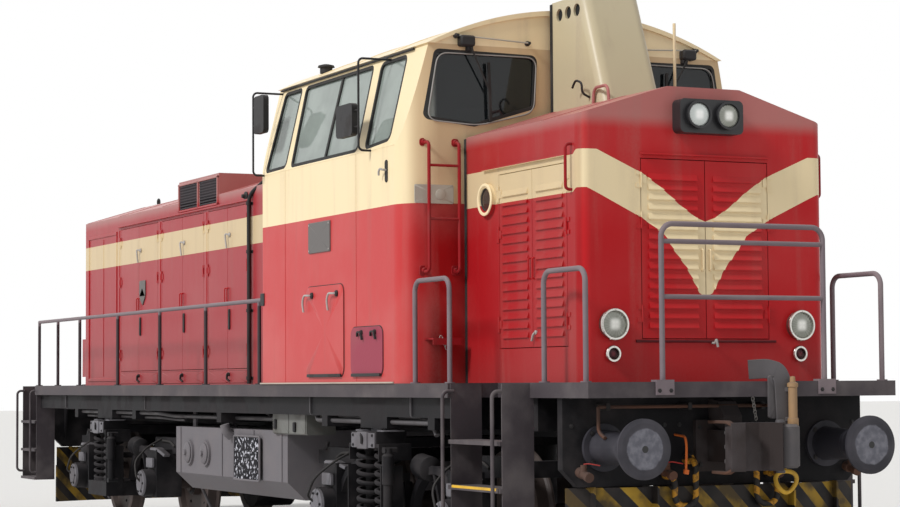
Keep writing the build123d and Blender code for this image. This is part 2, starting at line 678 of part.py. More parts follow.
def short_hood():
    x = SHORT_HOOD_X
    shell = hood_solid(x, 1, 0) - hood_solid((x[0] - 1, x[1] - HOOD_WALL), 1, HOOD_WALL)
    shell = cut_leaves(shell, "short_hood")
    over_doors = SIDE_DOOR_Z[1] + 45
    fittings = both_sides([gutter((SIDE_DOOR_X[0] - 240, SIDE_DOOR_X[1]), over_doors),
                           porthole(SIDE_DOOR_X[0] - 175, SIDE_DOOR_Z[1] - 175)])
    drip = FRONT_DOOR_Z[1] + 25
    front_drip = block((x[1] - 2, x[1] + GUTTER), (-FRONT_DOOR_Y, FRONT_DOOR_Y), (drip, drip + 12))
    hook_foot = HOOD_RIDGE - 30
    hook = [(x[0] + 680, -HOOD_FLAT + 20, hook_foot), (x[0] + 700, -HOOD_FLAT + 20, hook_foot + 150),
            (x[0] + 910, -HOOD_FLAT + 20, hook_foot + 150), (x[0] + 930, -HOOD_FLAT + 20, hook_foot)]
    return fuse([shell] + fittings + [front_drip, bent_tube(hook, 24, 60)])


def intake():
    """An air intake box that fills out the hood's shoulder up to the height of the ridge."""
    ridge, shoulder = hood_section(0)[3:5]
    low, top = BAY_DOOR_Z[1] + 20, ridge[1] - 6
    outside, inside = shoulder[0] - 4, shoulder[0] - HOOD_WALL
    outline = [(outside, low), (outside, top), (ridge[0] + 40, top), (ridge[0] + 40, ridge[1] - 30),
               (inside, shoulder[1] - 30), (inside, low)]
    return profile_along_x(outline, INTAKE_X)


def long_hood():
    x = LONG_HOOD_X
    shell = hood_solid(x, -1, 0) - hood_solid((x[0] + HOOD_WALL, x[1] + 1), -1, HOOD_WALL)
    shell = cut_leaves(shell, "long_hood")
    over_doors = BAY_DOOR_Z[1] + 25
    fittings = both_sides([gutter((BAY_POSTS[0], BAY_POSTS[-1]), over_doors), intake()])
    return fuse([shell] + fittings)


# Hood seals: the dark joints where the hoods meet the cab

def hood_seal(x):
    outer = profile_along_x(hood_section(8), x)
    return outer - profile_along_x(hood_section(60), (x[0] - 1, x[1] + 1))


# Exhaust housing: a folded tower between hood and cab, sloping to the front, with three ports a side

def stack():
    back, front = STACK_X
    outline = [(back, HOOD_RIDGE), (front, HOOD_RIDGE), (STACK_TOP_X, STACK_TOP), (back, STACK_TOP)]
    body = profile_along_y(outline, (-STACK_HALF, STACK_HALF))
    slope = [edge for edge in body.edges() if abs(edge.center().Y) > STACK_HALF - 1
             and edge.center().X > STACK_TOP_X + 20 and edge.length > 700]
    body = fillet(slope, 90)
    for number in range(3):
        start = (back + 120 + number * 140, -STACK_HALF - 10, STACK_TOP - 110)
        body = body - disc(start, (0, 1, 0), STACK_HOLE, 2 * STACK_HALF + 20)
    return body


# Lamps: two pairs low on each hood end, and a pair of drums in one housing under each roof edge

def lamps():
    housings = []
    lenses = []
    face = SHORT_HOOD_X[1]
    rows = ((776, FLANGE + 1903, 110, 60), (776, FLANGE + 1697, 55, 35), (122, FLANGE + 3390, 100, 150))
    for y, z, radius, deep in rows:
        rim = [(0, radius - 10), (deep - 12, radius - 10), (deep - 12, radius), (deep, radius),
               (deep, radius - 14),
               (deep - 22, radius - 16), (deep - 22, 0), (0, 0)]
        drum = revolve(make_face(Polyline(*[(x, r, 0) for x, r in rim], close=True)), Axis.X)
        lens = disc((deep - 22, 0, 0), (1, 0, 0), radius - 16 - RUNNING_GAP, 12)
        for side in (-1, 1):
            housings.append(Pos(face, side * y, z) * drum)
            lenses.append(Pos(face, side * y, z) * lens)
    return housings, lenses


def lamp_hood():
    """The black casing that carries a top pair of lamps, open in front round each drum."""
    face = SHORT_HOOD_X[1]
    casing = block((face, face + 110), (-262, 262), (FLANGE + 3262, FLANGE + 3505))
    casing = fillet(casing.edges().filter_by(Axis.X), 40)
    for side in (-1, 1):
        casing = casing - disc((face - 1, side * 122, FLANGE + 3390), (1, 0, 0), 90 + RUNNING_GAP, 200)
    return casing


def at_both_hood_ends(shapes):
    shift = Pos(LONG_HOOD_X[0] + SHORT_HOOD_X[1], 0, 0)
    return shapes + [shift * shape.mirror(Plane.YZ) for shape in shapes]


# Cab: four welded panels round a hollow room, leaning in above the sill, with windows cut in each

def cab_eave_half():
    return CAB_HALF - CAB_LEAN


def cab_section(inset):
    lean = math.atan2(CAB_LEAN, CAB_EAVE - CAB_SILL)
    low, high = CAB_HALF - inset, cab_eave_half() - inset / math.cos(lean)
    right = [(high, CAB_EAVE), (low, CAB_SILL), (low, DECK_TOP)]
    return [(-y, z) for y, z in reversed(right)] + right


def cab_solid(inset):
    """The cab's outline shrunk by inset on every wall."""
    x = (CAB_X[0] + inset, CAB_X[1] - inset)
    half = CAB_HALF - inset
    plan = block(x, (-half, half), (DECK_TOP, CAB_EAVE))
    for end, radius in ((x[0], CAB_REAR_CORNER), (x[1], CAB_CORNER)):
        edges = [edge for edge in plan.edges().filter_by(Axis.Z) if abs(edge.center().X - end) < 1]
        plan = fillet(edges, radius - inset)
    return plan & profile_along_x(cab_section(inset), (x[0] - 1, x[1] + 1))


def pane(points, corner, grow):
    """A window's outline with rounded corners, grown or shrunk all round."""
    outline = make_face(Polyline(*[(a, b) for a, b in points], close=True))
    outline = fillet(outline.vertices(), corner)
    return offset(outline, grow)


def window_cutters(grow):
    """The windows' outlines carried through the walls that they are in: three a side, two at each end."""
    low, high = WINDOW_BOTTOM, WINDOW_TOP
    rear, front = CAB_X[0] + WINDOW_EDGE, CAB_X[1] - 340
    over_hood = hood_section(-HOOD_WALL)
    slope_in, slope_out = over_hood[3], over_hood[4]
    ends = [(slope_in[0] + 60, high - 10), (slope_in[0] + 80, slope_in[1] + 10),
            (slope_out[0] - 130, slope_out[1] + 75), (CAB_HALF - 140, slope_out[1] + 120), (cab_eave_half() - 45, high)]
    sides = [([(rear, low), (rear + 500, low + 8), (rear + 475, high), (rear + 55, high)], 60),
             ([(rear + 610, low), (rear + 2075, low), (rear + 2030, high), (rear + 545, high)], 60),
             ([(rear + 2210, low), (front, low + 30), (front - 15, high), (rear + 2165, high)], 70)]
    cutters = []
    for points, corner in sides:
        cutter = extrude(pane(points, corner, grow), CAB_LEAN + 200)
        cutters.append(Plane(origin=(0, CAB_HALF + 60, 0), x_dir=(1, 0, 0), z_dir=(0, -1, 0)) * cutter)
    for x in (CAB_X[0] - 60, CAB_X[1] - 200):
        cutter = extrude(pane(ends, 55, grow), 260)
        cutters.append(Plane(origin=(x, 0, 0), x_dir=(0, 1, 0), z_dir=(1, 0, 0)) * cutter)
    return both_sides(cutters)


def cab_panels():
    """The shell cut where the real panels meet: the rear and front walls with their corners, and two sides."""
    shell = cab_solid(0) - cab_solid(CAB_WALL)
    for cutter in window_cutters(0):
        shell = shell - cutter
    seams = (CAB_X[0] + CAB_REAR_CORNER, CAB_X[1] - CAB_CORNER)
    wide, tall = (-CAB_HALF - 10, CAB_HALF + 10), (DECK_TOP - 10, CAB_EAVE + 10)
    panels = {"cab_rear": shell & block((CAB_X[0] - 10, seams[0]), wide, tall),
              "cab_front": shell & block((seams[1], CAB_X[1] + 10), wide, tall)}
    for name, side in (("cab_side_left", -1), ("cab_side_right", 1)):
        panels[name] = shell & block(seams, span(side, 0, wide[1]), tall)
    panels["cab_rear"] = cut_leaves(panels["cab_rear"], "cab_rear")
    return panels


def window_frames():
    """Rubber frames that hold the glass, one round each opening; long side windows have a dividing bar."""
    ring = cab_solid(0) - cab_solid(CAB_WALL - 5)
    frames = []
    for outer, inner in zip(window_cutters(-RUNNING_GAP), window_cutters(-FRAME_BAR)):
        frames.append(ring & (outer - inner))
    reach = (DIVIDER_X - DIVIDER_HALF, DIVIDER_X + DIVIDER_HALF)
    bar = block(reach, (0, CAB_HALF + 10), (WINDOW_BOTTOM + 5, WINDOW_TOP - 5))
    bar = (cab_solid(5) - cab_solid(CAB_WALL - 10)) & bar
    return frames + both_sides([bar & window_cutters(-FRAME_BAR)[1]])


def cab_glass():
    sheet = cab_solid(GLASS_DEPTH) - cab_solid(GLASS_DEPTH + GLASS)
    half = DIVIDER_HALF + RUNNING_GAP
    bar = block((DIVIDER_X - half, DIVIDER_X + half), (-CAB_HALF, CAB_HALF), (WINDOW_BOTTOM, WINDOW_TOP))
    return [(sheet & cutter) - bar for cutter in window_cutters(-FRAME_BAR - RUNNING_GAP)]


def cab_roof():
    half = cab_eave_half() + ROOF_OVERHANG
    low = CAB_EAVE
    arc = ThreePointArc((0, -half, low), (0, 0, ROOF_TOP), (0, half, low))
    inner = ThreePointArc((0, half - 60, low), (0, 0, ROOF_TOP - ROOF_PLATE), (0, -half + 60, low))
    rims = [Line((0, way * half, low), (0, way * (half - 60), low)) for way in (-1, 1)]
    section = make_face([arc, inner] + rims)
    x = (CAB_X[0] - ROOF_OVERHANG, CAB_X[1] + ROOF_OVERHANG)
    roof = Pos(x[0], 0, 0) * extrude(section, x[1] - x[0], dir=(1, 0, 0))
    closed = make_face([arc, Line((0, half, low), (0, -half, low))])
    for wall_x in (CAB_X[0], CAB_X[1] - CAB_WALL):
        roof = roof + Pos(wall_x, 0, 0) * extrude(closed, CAB_WALL, dir=(1, 0, 0))
    return roof


# Rails and mirrors on the cab: ladders beside the front windows, rear-view mirrors on bent arms

def ladder():
    """Two uprights stood off the cab front, with rungs between them and a step plate below."""
    face = CAB_X[1]
    out = face + 75
    inner, outer = HOOD_HALF + 70, HOOD_HALF + 325
    low, high = FLANGE + 2350, FLANGE + 3340
    pieces = []
    for y in (inner, outer):
        wall = face if y == inner else face - 45
        path = [(wall - 12, y, high), (out, y, high), (out, y, low), (wall - 12, y, low)]
        pieces.append(bent_tube(path, 26, 36))
    for height in (high - 180, high - 590):
        pieces.append(rod((out, inner, height), (out, outer, height), 22))
    step = block((face - 60, out + 60), (inner + 20, outer), (low - 520, low - 508))
    lip = block((out + 50, out + 60), (inner + 20, outer), (low - 560, low - 508))
    return [fuse(pieces), step + lip]


def hood_rail():
    """The grab rail on the short hood's side, just behind its front corner."""
    x = SHORT_HOOD_X[1] - 120
    out = HOOD_HALF + 50
    low, high = SIDE_DOOR_Z[1] - 200, SIDE_DOOR_Z[1] + 120
    wall = HOOD_HALF - 3
    return bent_tube([(x, wall, low), (x, out, low), (x, out, high), (x, wall, high)], 22, 30)


def grab_rails():
    shell = cab_solid(0)
    rails = [piece - shell for piece in ladder()]
    return both_sides(rails + [hood_rail() - hood_solid(SHORT_HOOD_X, 1, 0)])


def mirror(x, z, size, arm_x):
    """A rounded mirror case on a bent wire arm from the cab's eave, back to a socket at the sill."""
    y = CAB_HALF + 105
    wide, tall = size
    case = block((x - wide / 2, x + wide / 2), (y - 25, y + 25), (z - tall / 2, z + tall / 2))
    case = fillet(case.edges().filter_by(Axis.Y), 40)
    eave, sill = CAB_EAVE - 45, CAB_SILL - 5
    high = CAB_HALF - CAB_LEAN * (eave - CAB_SILL) / (CAB_EAVE - CAB_SILL)
    line = [(arm_x, high - 10, eave), (arm_x, y, eave), (arm_x, y, sill), (arm_x, CAB_HALF - 10, sill)]
    arm = bent_tube(line, 18, 40) - cab_solid(0)
    links = [rod((x, y, z + way * tall / 4), (arm_x, y, z + way * tall / 4), 14) for way in (-1, 1)]
    return fuse([case, arm] + links)


def cab_mirrors():
    front = mirror(CAB_X[1] - 930, FLANGE + 3590, (330, 260), CAB_X[1] - 690)
    rear = mirror(CAB_X[0] + 290, FLANGE + 3850, (240, 330), CAB_X[0] + 90)
    return both_sides([front, rear])


# Inside: a desk at each end of the cab, two seats on posts, and the engine on the deck in the long hood

def desks():
    half = HOOD_HALF - 15
    pieces = []
    for wall, way in ((CAB_X[0] + CAB_WALL + 15, 1), (CAB_X[1] - CAB_WALL - 15, -1)):
        top = DECK_TOP + DESK_HEIGHT
        foot, edge = wall + way * (DESK_DEPTH - 80), wall + way * DESK_DEPTH
        outline = [(wall, DECK_TOP), (foot, DECK_TOP), (foot, top - 220), (edge, top - 120), (edge, top - 60),
                   (wall + way * 200, top), (wall, top)]
        pieces.append(profile_along_y(outline, (-half, half)))
    return pieces


def seats():
    half = SEAT_SIZE / 2
    low = DECK_TOP + SEAT_HEIGHT
    pieces = []
    for x, y in ((CAB_X[0] + 1050, -700), (CAB_X[1] - 1090, 700)):
        cushion = block((x - half, x + half), (y - half, y + half), (low, low + 110))
        cushion = fillet(cushion.edges().filter_by(Axis.Z), 60)
        back = block((x - half, x - half + 100), (y - half, y + half), (low + 90, low + 650))
        back = fillet(back.edges().filter_by(Axis.X), 60)
        post = disc((x, y, DECK_TOP), (0, 0, 1), 60, SEAT_HEIGHT + 5)
        base = disc((x, y, DECK_TOP), (0, 0, 1), 170, 20)
        pieces.append(fuse([cushion, back, post, base]))
    return pieces


def engine():
    return block(ENGINE_X, (-ENGINE_HALF, ENGINE_HALF), (DECK_TOP, ENGINE_TOP))


# Fuel tank: a welded tank with cut-off lower edges, and two round hand-hole covers a side

def tank():
    half, low, high = TANK_HALF, TANK_LOW, SILL_BOTTOM
    right = [(half - 170, low), (half, low + 160), (half, high)]
    outline = [(-y, z) for y, z in reversed(right)] + right
    body = profile_along_x(outline, TANK_X)
    covers = []
    for share in (0.14, 0.30):
        x = TANK_X[0] + share * (TANK_X[1] - TANK_X[0])
        covers.append(disc((x, half - 1, (low + high) / 2 + 60), (0, 1, 0), 120, 25))
    hangers = [block((x - 40, x + 40), (half - 120, half - 100), (high - 1, DECK_TOP - 260)) for x in
               (TANK_X[0] + 260, TANK_X[1] - 260)]
    return fuse([body] + both_sides(covers) + both_sides(hangers))


save("underframe", [underframe()])
save("headstocks", both_ends([headstock()]))
save("deck", [deck()])
save("corner_steps", all_steps())
save("platform_hoops", platform_hoops())
save("end_railings", both_ends([end_railing()]))
save("walkway_railings", both_sides([walkway_railing()]))
save("buffers", both_ends(both_sides([buffer()])))
save("couplers", [coupler(), coupler().rotate(Axis.Z, 180)])
save("guards", both_ends([guard()]))
save("brake_hoses", both_ends([brake_hose(250, 1), brake_hose(-250, -1)]))
save("short_hood", [short_hood()])
save("long_hood", [long_hood()])
save("hood_seals", [hood_seal((CAB_X[1], SHORT_HOOD_X[0])), hood_seal((LONG_HOOD_X[1], CAB_X[0]))])
save("exhaust_housing", [stack()])
save("engine_block", [engine()])
save("fuel_tank", [tank()])

housings, lenses = lamps()
save("lamp_housings", at_both_hood_ends(housings + [lamp_hood()]))
save("lamp_lenses", at_both_hood_ends(lenses))

for name, panel in cab_panels().items():
    save(name, [panel])
save("cab_roof", [cab_roof()])
save("window_frames", window_frames())
save("cab_glass", cab_glass())
save("grab_rails", grab_rails())
save("cab_mirrors", cab_mirrors())
save("cab_desks", desks())
save("cab_seats", seats())

for row in door_leaves():
    save(row[0], [leaf(row)])

bogie_parts = (("bogie", [bogie_frame()]), ("bogie_springs", bogie_springs()), ("axle_gears", bogie_gear()))
for end, sign in (("front", 1), ("rear", -1)):
    for name, pieces in bogie_parts:
        save(f"{name}_{end}", [Pos(sign * BOGIE_X, 0, 0) * piece for piece in pieces])

axle_places = [sign * BOGIE_X + side * WHEELBASE / 2 for sign in (1, -1) for side in (1, -1)]
for number, x in enumerate(axle_places, start=1):
    save(f"wheelset_{number}", [Pos(x, 0, 0) * wheelset()])
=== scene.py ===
import math

import bmesh
import bpy
import numpy as np
from mathutils import Matrix, Vector


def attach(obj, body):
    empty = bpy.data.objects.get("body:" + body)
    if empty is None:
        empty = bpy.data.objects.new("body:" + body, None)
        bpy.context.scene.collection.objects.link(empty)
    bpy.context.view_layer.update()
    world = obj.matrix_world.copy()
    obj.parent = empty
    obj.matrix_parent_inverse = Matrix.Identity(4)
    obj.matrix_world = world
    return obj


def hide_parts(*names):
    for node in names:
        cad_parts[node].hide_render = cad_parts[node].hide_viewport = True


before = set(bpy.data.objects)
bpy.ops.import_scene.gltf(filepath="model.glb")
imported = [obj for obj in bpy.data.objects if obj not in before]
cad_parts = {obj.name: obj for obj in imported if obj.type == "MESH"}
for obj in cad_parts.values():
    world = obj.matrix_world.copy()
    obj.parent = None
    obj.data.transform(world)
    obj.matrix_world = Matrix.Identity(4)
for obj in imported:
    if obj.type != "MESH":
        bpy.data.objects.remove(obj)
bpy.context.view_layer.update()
scene = bpy.context.scene
scene.view_settings.view_transform = "Standard"

# The view: a long lens at eye height beside the track, ahead of the short hood and to its left,
# turned a little up, as far off as the photograph's own perspective says.

yaw, pitch, roll = (math.radians(angle) for angle in (25.386, 3.229, -0.360))
ahead = Vector((-math.cos(yaw) * math.cos(pitch), math.sin(yaw) * math.cos(pitch), math.sin(pitch)))
level = Vector((math.sin(yaw), math.cos(yaw), 0))
upward = level.cross(ahead)
right = level * math.cos(roll) + upward * math.sin(roll)
upward = upward * math.cos(roll) - level * math.sin(roll)
camera = bpy.data.objects.new("camera", bpy.data.cameras.new("camera"))
camera.data.sensor_width = 36
camera.data.lens = 92.005
camera.data.clip_end = 300
camera.matrix_world = Matrix((right, upward, -ahead)).transposed().to_4x4()
camera.location = (20.34, -8.677, 1.527)
scene.collection.objects.link(camera)
scene.camera = camera

# The studio: a pale floor under the wheels, a white surround that the paint and glass mirror,
# one broad lamp high on the left side and the sky's own even light.


def new_material(name, **sockets):
    """A node material with these values on its shader's sockets; a space in a socket's name is written _."""
    made = bpy.data.materials.new(name)
    made.use_nodes = True
    shader = made.node_tree.nodes["Principled BSDF"]
    for socket, value in sockets.items():
        shader.inputs[socket.replace("_", " ")].default_value = value
    return made


def node(made, kind, feeds=(), **settings):
    """A node in the material; feeds holds (input, value or the output that drives it) pairs."""
    tree = made.node_tree
    new = tree.nodes.new("ShaderNode" + kind)
    for key, value in settings.items():
        setattr(new, key, value)
    for socket, value in feeds:
        if isinstance(value, bpy.types.NodeSocket):
            tree.links.new(value, new.inputs[socket])
        else:
            new.inputs[socket].default_value = value
    return new


def feed(made, **sources):
    """Links outputs to the shader's named inputs."""
    shader = made.node_tree.nodes["Principled BSDF"]
    for socket, output in sources.items():
        made.node_tree.links.new(output, shader.inputs[socket.replace("_", " ")])


world = bpy.data.worlds.new("surround")
world.use_nodes = True
scene.world = world
world_nodes = world.node_tree
paths = world_nodes.nodes.new("ShaderNodeLightPath")
seen = world_nodes.nodes.new("ShaderNodeMath")
seen.operation = "MAXIMUM"
world_nodes.links.new(paths.outputs["Is Camera Ray"], seen.inputs[0])
world_nodes.links.new(paths.outputs["Is Glossy Ray"], seen.inputs[1])
through = world_nodes.nodes.new("ShaderNodeMath")
through.operation = "MAXIMUM"
world_nodes.links.new(seen.outputs[0], through.inputs[0])
world_nodes.links.new(paths.outputs["Is Transmission Ray"], through.inputs[1])
strength = world_nodes.nodes.new("ShaderNodeMapRange")
strength.inputs["To Min"].default_value = 0.5
strength.inputs["To Max"].default_value = 1.0
world_nodes.links.new(through.outputs[0], strength.inputs["Value"])
sky = world_nodes.nodes["Background"]
sky.inputs["Color"].default_value = (1, 1, 1, 1)
world_nodes.links.new(strength.outputs[0], sky.inputs["Strength"])

lamp = bpy.data.objects.new("broad_lamp", bpy.data.lights.new("broad_lamp", "SUN"))
lamp.data.energy = 2.3
lamp.data.angle = math.radians(12)
lamp.rotation_mode = "QUATERNION"
lamp.rotation_quaternion = Vector((0.18, -1.0, 0.85)).to_track_quat("Z", "Y")
scene.collection.objects.link(lamp)

floor_mesh = bpy.data.meshes.new("floor")
reach = 120.0
floor_mesh.from_pydata([(-reach, -reach, 0), (reach, -reach, 0), (reach, reach, 0), (-reach, reach, 0)],
                       [], [(0, 1, 2, 3)])
floor = bpy.data.objects.new("floor", floor_mesh)
scene.collection.objects.link(floor)
floor_mesh.materials.append(new_material("pale_floor", Base_Color=(0.80, 0.79, 0.77, 1), Roughness=0.9))

# The body's paint: a red that has gone chalky in the sun, a warm cream for the upper cab and the band
# along both hoods, which drops to a point between the front lamps, all sprayed on folded steel sheet.

RED = (0.50, 0.011, 0.015, 1)
CREAM = (0.88, 0.72, 0.45, 1)
DUST = (0.30, 0.22, 0.19, 1)
# SIDE_SHADE_CREAM is the band's cream with painted shade, for the faces that look aside.
SIDE_SHADE_CREAM = (0.62, 0.48, 0.285, 1)
BAND, CAB_CREAM_FROM = (2.86, 3.125), 2.905
RAIL_TOP, CURVE_FOOT = 0.028, 2.1


def place(made):
    """The point on the object that a pattern starts from, and its three parts."""
    coordinates = node(made, "TexCoord").outputs["Object"]
    return coordinates, node(made, "SeparateXYZ", [(0, coordinates)]).outputs


def ramp(made, value, low, high, to=(0.0, 1.0)):
    """value carried from low..high onto the two numbers of to, and held at the ends."""
    made_range = node(made, "MapRange",
                      [("Value", value), ("From Min", low), ("From Max", high), ("To Min", to[0]),
                       ("To Max", to[1])], interpolation_type="SMOOTHSTEP")
    return made_range.outputs[0]


def maths(made, operation, *values):
    return node(made, "Math", list(enumerate(values)), operation=operation).outputs[0]


def times(made, first, second):
    """The product of two values."""
    return maths(made, "MULTIPLY", first, second)


def size_of(made, value):
    """A value without its sign."""
    return maths(made, "ABSOLUTE", value)


def blend_colours(made, share, first, second, kind="MIX"):
    mix = node(made, "Mix", [(0, share), (6, first), (7, second)], data_type="RGBA", blend_type=kind)
    return mix.outputs[2]


def cloud(made, coordinates, scale, detail=4.0, stretch=(1, 1, 1)):
    """A soft noise from 0 to 1, drawn out along the axes by stretch."""
    drawn = node(made, "Mapping", [("Vector", coordinates), ("Scale", stretch)]).outputs[0]
    return node(made, "TexNoise", [("Vector", drawn), ("Scale", scale), ("Detail", detail)]).outputs["Fac"]


def weather(made, colour, coordinates, height, amount, chalk=0.07):
    """Gives a paint its life outdoors: chalky patches, rain streaks that run down, and brown dust
    that lies thick near the deck. Colour, roughness and bump follow the same patches."""
    patches = cloud(made, coordinates, 1.1, 6.0)
    streaks = cloud(made, coordinates, 2.0, 5.0, (3.0, 3.0, 0.22))
    specks = cloud(made, coordinates, 60.0, 3.0)
    chalky = times(made, ramp(made, patches, 0.42, 0.75), chalk)
    colour = blend_colours(made, chalky, colour, (0.78, 0.70, 0.64, 1))
    low = ramp(made, height, 1.95, 1.50)
    grime = maths(made, "ADD", times(made, ramp(made, streaks, 0.50, 0.78), amount * 0.55),
                  times(made, low, amount * 0.2))
    grime = times(made, grime, ramp(made, specks, 0.25, 0.62, (0.55, 1.0)))
    colour = blend_colours(made, grime, colour, DUST)
    bump = node(made, "Bump", [("Height", cloud(made, coordinates, 5.0, 3.0)), ("Strength", 0.12),
                               ("Distance", 0.02)]).outputs[0]
    feed(made, Base_Color=colour, Normal=bump,
         Roughness=ramp(made, maths(made, "ADD", grime, chalky), 0.0, 0.5, (0.34, 0.75)))
    return made


def looks_along(made, axis):
    """How far the surface looks along axis 0, 1 or 2, from -1 to 1."""
    return node(made, "SeparateXYZ", [(0, node(made, "NewGeometry").outputs["Normal"])]).outputs[axis]


def faces_aside(made):
    """1 on faces that look left or right, 0 on those that look ahead or up."""
    return ramp(made, size_of(made, looks_along(made, 1)), 0.55, 0.85)


def bleached(made, colour, x, high):
    """The red on the sides. The sun has turned it pinkish behind the short hood, by the share high; painted
    shade makes it darker on the short hood, and on the long hood it is duller, with mauve dust rubbed into it
    and painted shade over it."""
    side = faces_aside(made)
    behind = times(made, side, ramp(made, x, 4.48, 4.44))
    colour = blend_colours(made, times(made, behind, high), colour, (0.80, 0.32, 0.30, 1))
    # Painted shade with mauve dust: the long hood's sides are darkened and dulled.
    mauve_dust_and_shade = times(made, side, ramp(made, x, 1.31, 1.25, (0.0, 0.42)))
    colour = blend_colours(made, mauve_dust_and_shade, colour, (0.13, 0.040, 0.055, 1))
    # Painted shade: the short hood's sides are darkened.
    shaded = times(made, side, ramp(made, x, 4.44, 4.48, (0.0, 0.38)))
    return blend_colours(made, shaded, colour, (0.12, 0.004, 0.007, 1))


def hood_paint():
    """Red with the cream band. Over the front the band's two edges follow curves of height by distance from
    the middle, counted from CURVE_FOOT over the rail."""
    made = new_material("hood_paint", Specular_IOR_Level=0.18)
    coordinates, (x, y, z) = place(made)
    across = size_of(made, y)
    front = ramp(made, x, 6.20, 6.26)
    low_edge = node(made, "FloatCurve", [("Value", across)])
    high_edge = node(made, "FloatCurve", [("Value", across)])
    for curve, points in ((low_edge, ((0, 2.10), (0.055, 2.13), (0.16, 2.31), (0.27, 2.44), (0.34, 2.54),
                                      (0.53, 2.66), (0.87, 2.82), (0.96, 2.86), (1, 2.86))),
                          (high_edge, ((0, 2.64), (0.08, 2.67), (0.20, 2.746), (0.35, 2.865), (0.51, 2.97),
                                       (0.88, 3.13), (1, 3.13)))):
        line = curve.mapping.curves[0]
        curve.mapping.use_clip = False
        while len(line.points) < len(points):
            line.points.new(0.5, 0.5)
        for point, (at, value) in zip(line.points, points):
            point.location = (at, value - CURVE_FOOT)
            point.handle_type = "VECTOR"
        curve.mapping.update()
    edges = []
    for along_side, curve in zip(BAND, (low_edge, high_edge)):
        over_front = maths(made, "ADD", curve.outputs[0], CURVE_FOOT + RAIL_TOP)
        edges.append(node(made, "Mix", [(0, front), (2, along_side), (3, over_front)]).outputs[0])
    band = times(made, maths(made, "GREATER_THAN", z, edges[0]), maths(made, "LESS_THAN", z, edges[1]))
    # Painted shade: the cream band is painted darker on the faces that look aside.
    cream = blend_colours(made, faces_aside(made), CREAM, SIDE_SHADE_CREAM)
    colour = blend_colours(made, band, bleached(made, RED, x, 0.035), cream)
    roof_dust = times(made, ramp(made, z, 3.30, 3.42), 0.45)
    colour = blend_colours(made, roof_dust, colour, (0.42, 0.33, 0.30, 1))
    return weather(made, colour, coordinates, z, amount=0.38, chalk=0.035)


def cab_paint():
    """Red below, cream above, with the faces that look ahead in the hood's shade."""
    made = new_material("cab_paint", Specular_IOR_Level=0.18)
    coordinates, (x, _, z) = place(made)
    colour = blend_colours(made, maths(made, "GREATER_THAN", z, CAB_CREAM_FROM),
                           bleached(made, RED, x, 0.11), CREAM)
    shaded_end = ramp(made, looks_along(made, 0), 0.5, 0.9, (0.0, 0.75))
    colour = blend_colours(made, shaded_end, colour, (0.62, 0.52, 0.46, 1), "MULTIPLY")
    return weather(made, colour, coordinates, z, amount=0.45)


def cream_paint(name, colour, amount):
    """One plain colour all over, weathered by amount."""
    made = new_material(name, Specular_IOR_Level=0.3)
    coordinates, parts = place(made)
    return weather(made, colour, coordinates, parts[2], amount)


def dress(material, *names):
    """Puts a material on CAD nodes, by name or by the first part of their names."""
    for name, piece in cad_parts.items():
        if name.startswith(names):
            piece.data.materials.clear()
            piece.data.materials.append(material)


dress(hood_paint(), "short_hood", "long_hood", "front_door")
dress(cab_paint(), "cab_rear", "cab_front", "cab_side", "cab_door")
dress(cream_paint("cream_paint", CREAM, 0.6), "cab_roof")
dress(cream_paint("sooty_cream", (0.53, 0.46, 0.30, 1), 0.6), "exhaust_housing")

# Running gear, underframe and headstocks under years of brake dust, oil and road dirt, black where oil keeps
# them wet and grey-brown where dust dries, and made darker still as painted shade; the deck and its rails in
# worn grey paint.


def dirty_steel(name, colour, dusty, shine=0.55, gloss=0.3):
    """Painted or bare steel: dusty in patches and on what looks up. shine is its roughness where clean."""
    made = new_material(name, Specular_IOR_Level=gloss)
    coordinates = place(made)[0]
    patches = ramp(made, cloud(made, coordinates, 3.0, 8.0), 0.42, 0.68)
    settled = times(made, ramp(made, looks_along(made, 2), 0.2, 0.9), 0.6)
    share = maths(made, "MAXIMUM", times(made, patches, 0.5), settled)
    colour = blend_colours(made, share, colour, dusty)
    bump = node(made, "Bump", [("Height", cloud(made, coordinates, 45.0, 4.0)), ("Strength", 0.25),
                               ("Distance", 0.004)]).outputs[0]
    feed(made, Base_Color=colour, Normal=bump, Roughness=ramp(made, patches, 0.0, 1.0, (shine, 0.85)))
    return made


# Painted shade with oil and dirt: this near-black is made darker still for the shade low on the locomotive.
dress(dirty_steel("oily_black_and_shade", (0.010, 0.0095, 0.011, 1), (0.060, 0.054, 0.056, 1), gloss=0.12),
      "bogie", "axle_gears", "underframe", "headstocks", "engine_block")
dress(dirty_steel("deck_paint", (0.060, 0.050, 0.056, 1), (0.17, 0.15, 0.15, 1), gloss=0.2), "deck",
      "corner_steps")
dress(dirty_steel("rail_paint", (0.17, 0.135, 0.15, 1), (0.27, 0.22, 0.225, 1)), "platform_hoops",
      "end_railings")


def walkway_paint():
    """The worn mauve-grey top rail over posts that oil and hands have turned nearly black."""
    made = dirty_steel("walkway_paint", (0.17, 0.135, 0.15, 1), (0.27, 0.22, 0.225, 1))
    top = made.node_tree.nodes["Principled BSDF"].inputs["Base Color"].links[0].from_socket
    on_top = ramp(made, place(made)[1][2], 2.215, 2.235)
    feed(made, Base_Color=blend_colours(made, on_top, (0.045, 0.034, 0.038, 1), top))
    return made


dress(walkway_paint(), "walkway_railings")
dress(dirty_steel("wheel_steel", (0.040, 0.028, 0.025, 1), (0.12, 0.095, 0.085, 1)), "wheelset")

# Glass and lamps: flat safety glass in the cab, drums of pressed steel with fluted lenses on the hoods.


